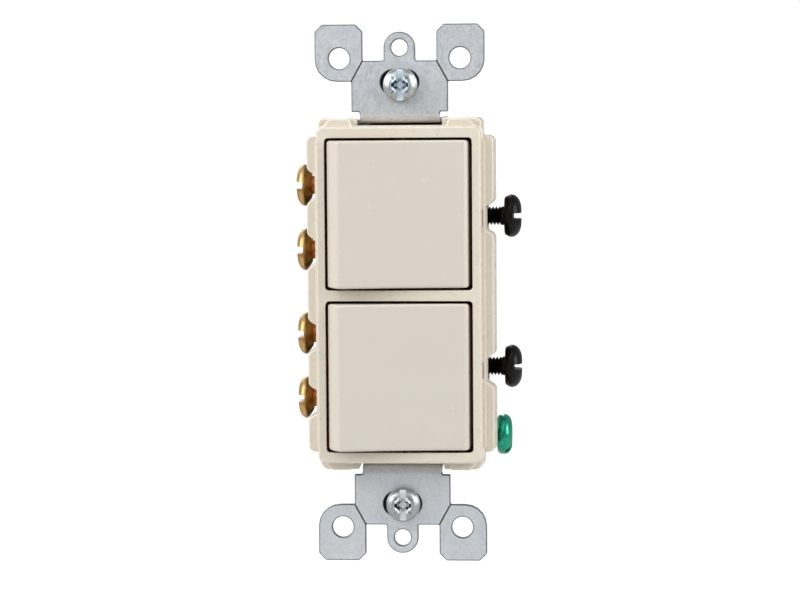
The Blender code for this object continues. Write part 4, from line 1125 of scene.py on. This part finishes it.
def contacts(switch, hinge):
    """Silver contacts: two on the arm, facing rearward, and two on the terminals, facing them."""
    backward = Matrix.Rotation(-math.pi / 2, 4, "X")
    tilted = hinge @ Matrix.Rotation(-CONTACT_TILT, 4, "Z")
    for side_name, side in (("left", -1), ("right", 1)):
        node = f"moving_contact_{switch}_{side_name}"
        at = tilted @ shift(side * CONTACT_X, 0.3 * MM, 0)
        item = link(node + "_rivet", moved(contact_button(), at, backward))
        finished(item, f"arm_{switch}", node, "silver")
        node = f"fixed_contact_{switch}_{side_name}"
        x, _, z = middle_of(node)
        at = shift(x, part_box(node)[1].y, z)
        item = link(node + "_rivet", moved(contact_button(), at, FRONT))
        finished(item, "device", node, "silver")


def plunger(switch, hinge):
    """Nylon plunger: a tail that slides in the stem, and a round nose."""
    rows = [
        (1.5, 1.1), (1.62, 1.26), (1.8, 1.3), (6.8, 1.3), (6.8, 1.85), (6.95, 2.0), (10.2, 2.0),
        (10.7, 1.88), (11.2, 1.6), (11.6, 1.22), (11.85, 0.78), (11.97, 0.35), (12.0, 0.08),
    ]
    mesh = stack([(circle((0, 0), r * MM, 32), along * MM) for along, r in rows])
    at = hinge @ Matrix.Rotation(ROCKER_TILT, 4, "Z") @ Matrix.Rotation(-math.pi / 2, 4, "X")
    item = link(f"plunger_{switch}_turned", moved(mesh, at))
    finished(item, f"plunger_{switch}", f"plunger_{switch}", "nylon")


def coil(low, high, radius, wire, turns):
    """A closed coil of round wire about Z, with closed-up end turns."""
    per_turn = 24
    sides = 10
    flat_turns = 0.75
    rings = []
    for i in range(turns * per_turn + 1):
        share = (i / per_turn - flat_turns) / (turns - 2 * flat_turns)
        rise = low + wire + (high - low - 2 * wire) * min(max(share, 0), 1)
        angle = 2 * math.pi * i / per_turn
        ring = []
        for k in range(sides):
            around = 2 * math.pi * k / sides
            out = radius + wire * math.cos(around)
            height = rise + wire * math.sin(around)
            ring.append((out * math.cos(angle), out * math.sin(angle), height))
        rings.append(ring)
    return skin(rings)


def plunger_spring(switch, hinge):
    """Coil spring in the stem, which shortens as the plunger is pressed in."""
    low, high = SPRING_ENDS
    at = hinge @ Matrix.Rotation(ROCKER_TILT, 4, "Z")
    mesh = coil(low, high, *SPRING_SIZE, SPRING_TURNS)
    mesh = moved(mesh, at @ Matrix.Rotation(-math.pi / 2, 4, "X"))
    item = link(f"plunger_spring_{switch}_coil", mesh)
    finished(item, f"rocker_{switch}", f"plunger_spring_{switch}", "spring_steel", angle=60)
    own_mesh(item)


def mechanism(switch, sign):
    """The working parts behind one rocker."""
    hinge = shift(0, ROCKER_HINGE.y, sign * ROCKER_HINGE.z)
    arm_hinge = shift(0, ARM_HINGE_Y, sign * ROCKER_HINGE.z)
    plunger(switch, hinge)
    plunger_spring(switch, hinge)
    contact_arm(switch, arm_hinge)
    contacts(switch, arm_hinge)
    for node in frame["nodes"]:
        if "terminal_" + switch in node:
            dress(node, "terminal_brass", 0.1 * MM)


def screw_retainers():
    """Fibre washers that keep the box screws in the strap."""
    for end in ("top", "bottom"):
        node = "screw_retainer_" + end
        low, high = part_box(node)
        thickness = high.y - low.y
        rim = circle((0, 0), (high.x - low.x) / 2, 64)
        disc = plate(rim, [circle((0, 0), 1.8 * MM, 32)], thickness, 0.12 * MM)
        item = link(node + "_washer", moved(disc, shift(*middle_of(node)), FRONT))
        finished(item, "device", node, "fibre")


# Stage.


def aim(item, place, target, roll=0.0):
    """Put a camera or a light at a place, looking at the target."""
    turn = (target - place).to_track_quat("-Z", "Y").to_matrix().to_4x4()
    item.matrix_world = Matrix.Translation(place) @ turn @ Matrix.Rotation(roll, 4, "Z")


def camera():
    """The camera, a little right of the switch and above its middle."""
    data = bpy.data.cameras.new("camera")
    data.sensor_width = SENSOR_WIDTH
    data.lens = FOCAL_LENGTH
    data.clip_start = 0.01
    item = link("camera", data)
    across = math.cos(CAMERA_ELEVATION)
    x, y = math.sin(CAMERA_AZIMUTH) * across, -math.cos(CAMERA_AZIMUTH) * across
    back = Vector((x, y, math.sin(CAMERA_ELEVATION)))
    aim(item, CAMERA_TARGET + back * CAMERA_DISTANCE, CAMERA_TARGET, CAMERA_ROLL)
    bpy.context.scene.camera = item


def light(name, place, size, power):
    """A soft square light, aimed at the switch."""
    data = bpy.data.lights.new(name, "AREA")
    data.size = size
    data.energy = power
    aim(link(name, data), Vector(place), Vector())


def seen_as(tree, plain, strength):
    """White to the camera, and the plain shader to every other ray."""
    bright = tree.nodes.new("ShaderNodeEmission")
    bright.inputs["Strength"].default_value = strength
    path = tree.nodes.new("ShaderNodeLightPath")
    mix = tree.nodes.new("ShaderNodeMixShader")
    tree.links.new(path.outputs["Is Camera Ray"], mix.inputs["Fac"])
    tree.links.new(plain, mix.inputs[1])
    tree.links.new(bright.outputs["Emission"], mix.inputs[2])
    return mix.outputs["Shader"]


def stage():
    """Pale floor, white surroundings and soft studio lights."""
    square = rectangle(FLOOR_HALF, FLOOR_HALF, 0)
    floor = link("floor", stack([(square, z) for z in FLOOR_Z]))
    pale = Nodes("pale_floor", (0.9, 0.9, 0.9), 0.8)
    pale.use("Base Color", pale.ramp(pale.noise(40), (0.3, (0.66,)), (0.7, (0.7,))))
    surface = pale.tree.nodes["Material Output"].inputs["Surface"]
    bright = seen_as(pale.tree, pale.shader.outputs["BSDF"], FLOOR_WHITE)
    pale.tree.links.new(bright, surface)
    floor.data.materials.append(pale.material)
    world = bpy.data.worlds.new("studio")
    world.use_nodes = True
    bpy.context.scene.world = world
    surround = world.node_tree.nodes["Background"]
    surround.inputs["Color"].default_value = (*WORLD_COLOUR, 1)
    surround.inputs["Strength"].default_value = WORLD_STRENGTH
    bright = seen_as(world.node_tree, surround.outputs["Background"], FLOOR_WHITE)
    world.node_tree.links.new(bright, world.node_tree.nodes["World Output"].inputs["Surface"])
    for name, place, size, power in LIGHTS:
        light(name, place, size, power)
    bpy.context.scene.view_settings.view_transform = "Standard"


def main():
    """Build every piece, then the stage."""
    front_cover()
    rear_housing()
    for switch, sign in SWITCHES:
        rocker(switch, sign)
        mechanism(switch, sign)
    strap()
    all_terminal_screws()
    box_screws()
    screw_retainers()
    housing_screws()
    camera()
    stage()


main()
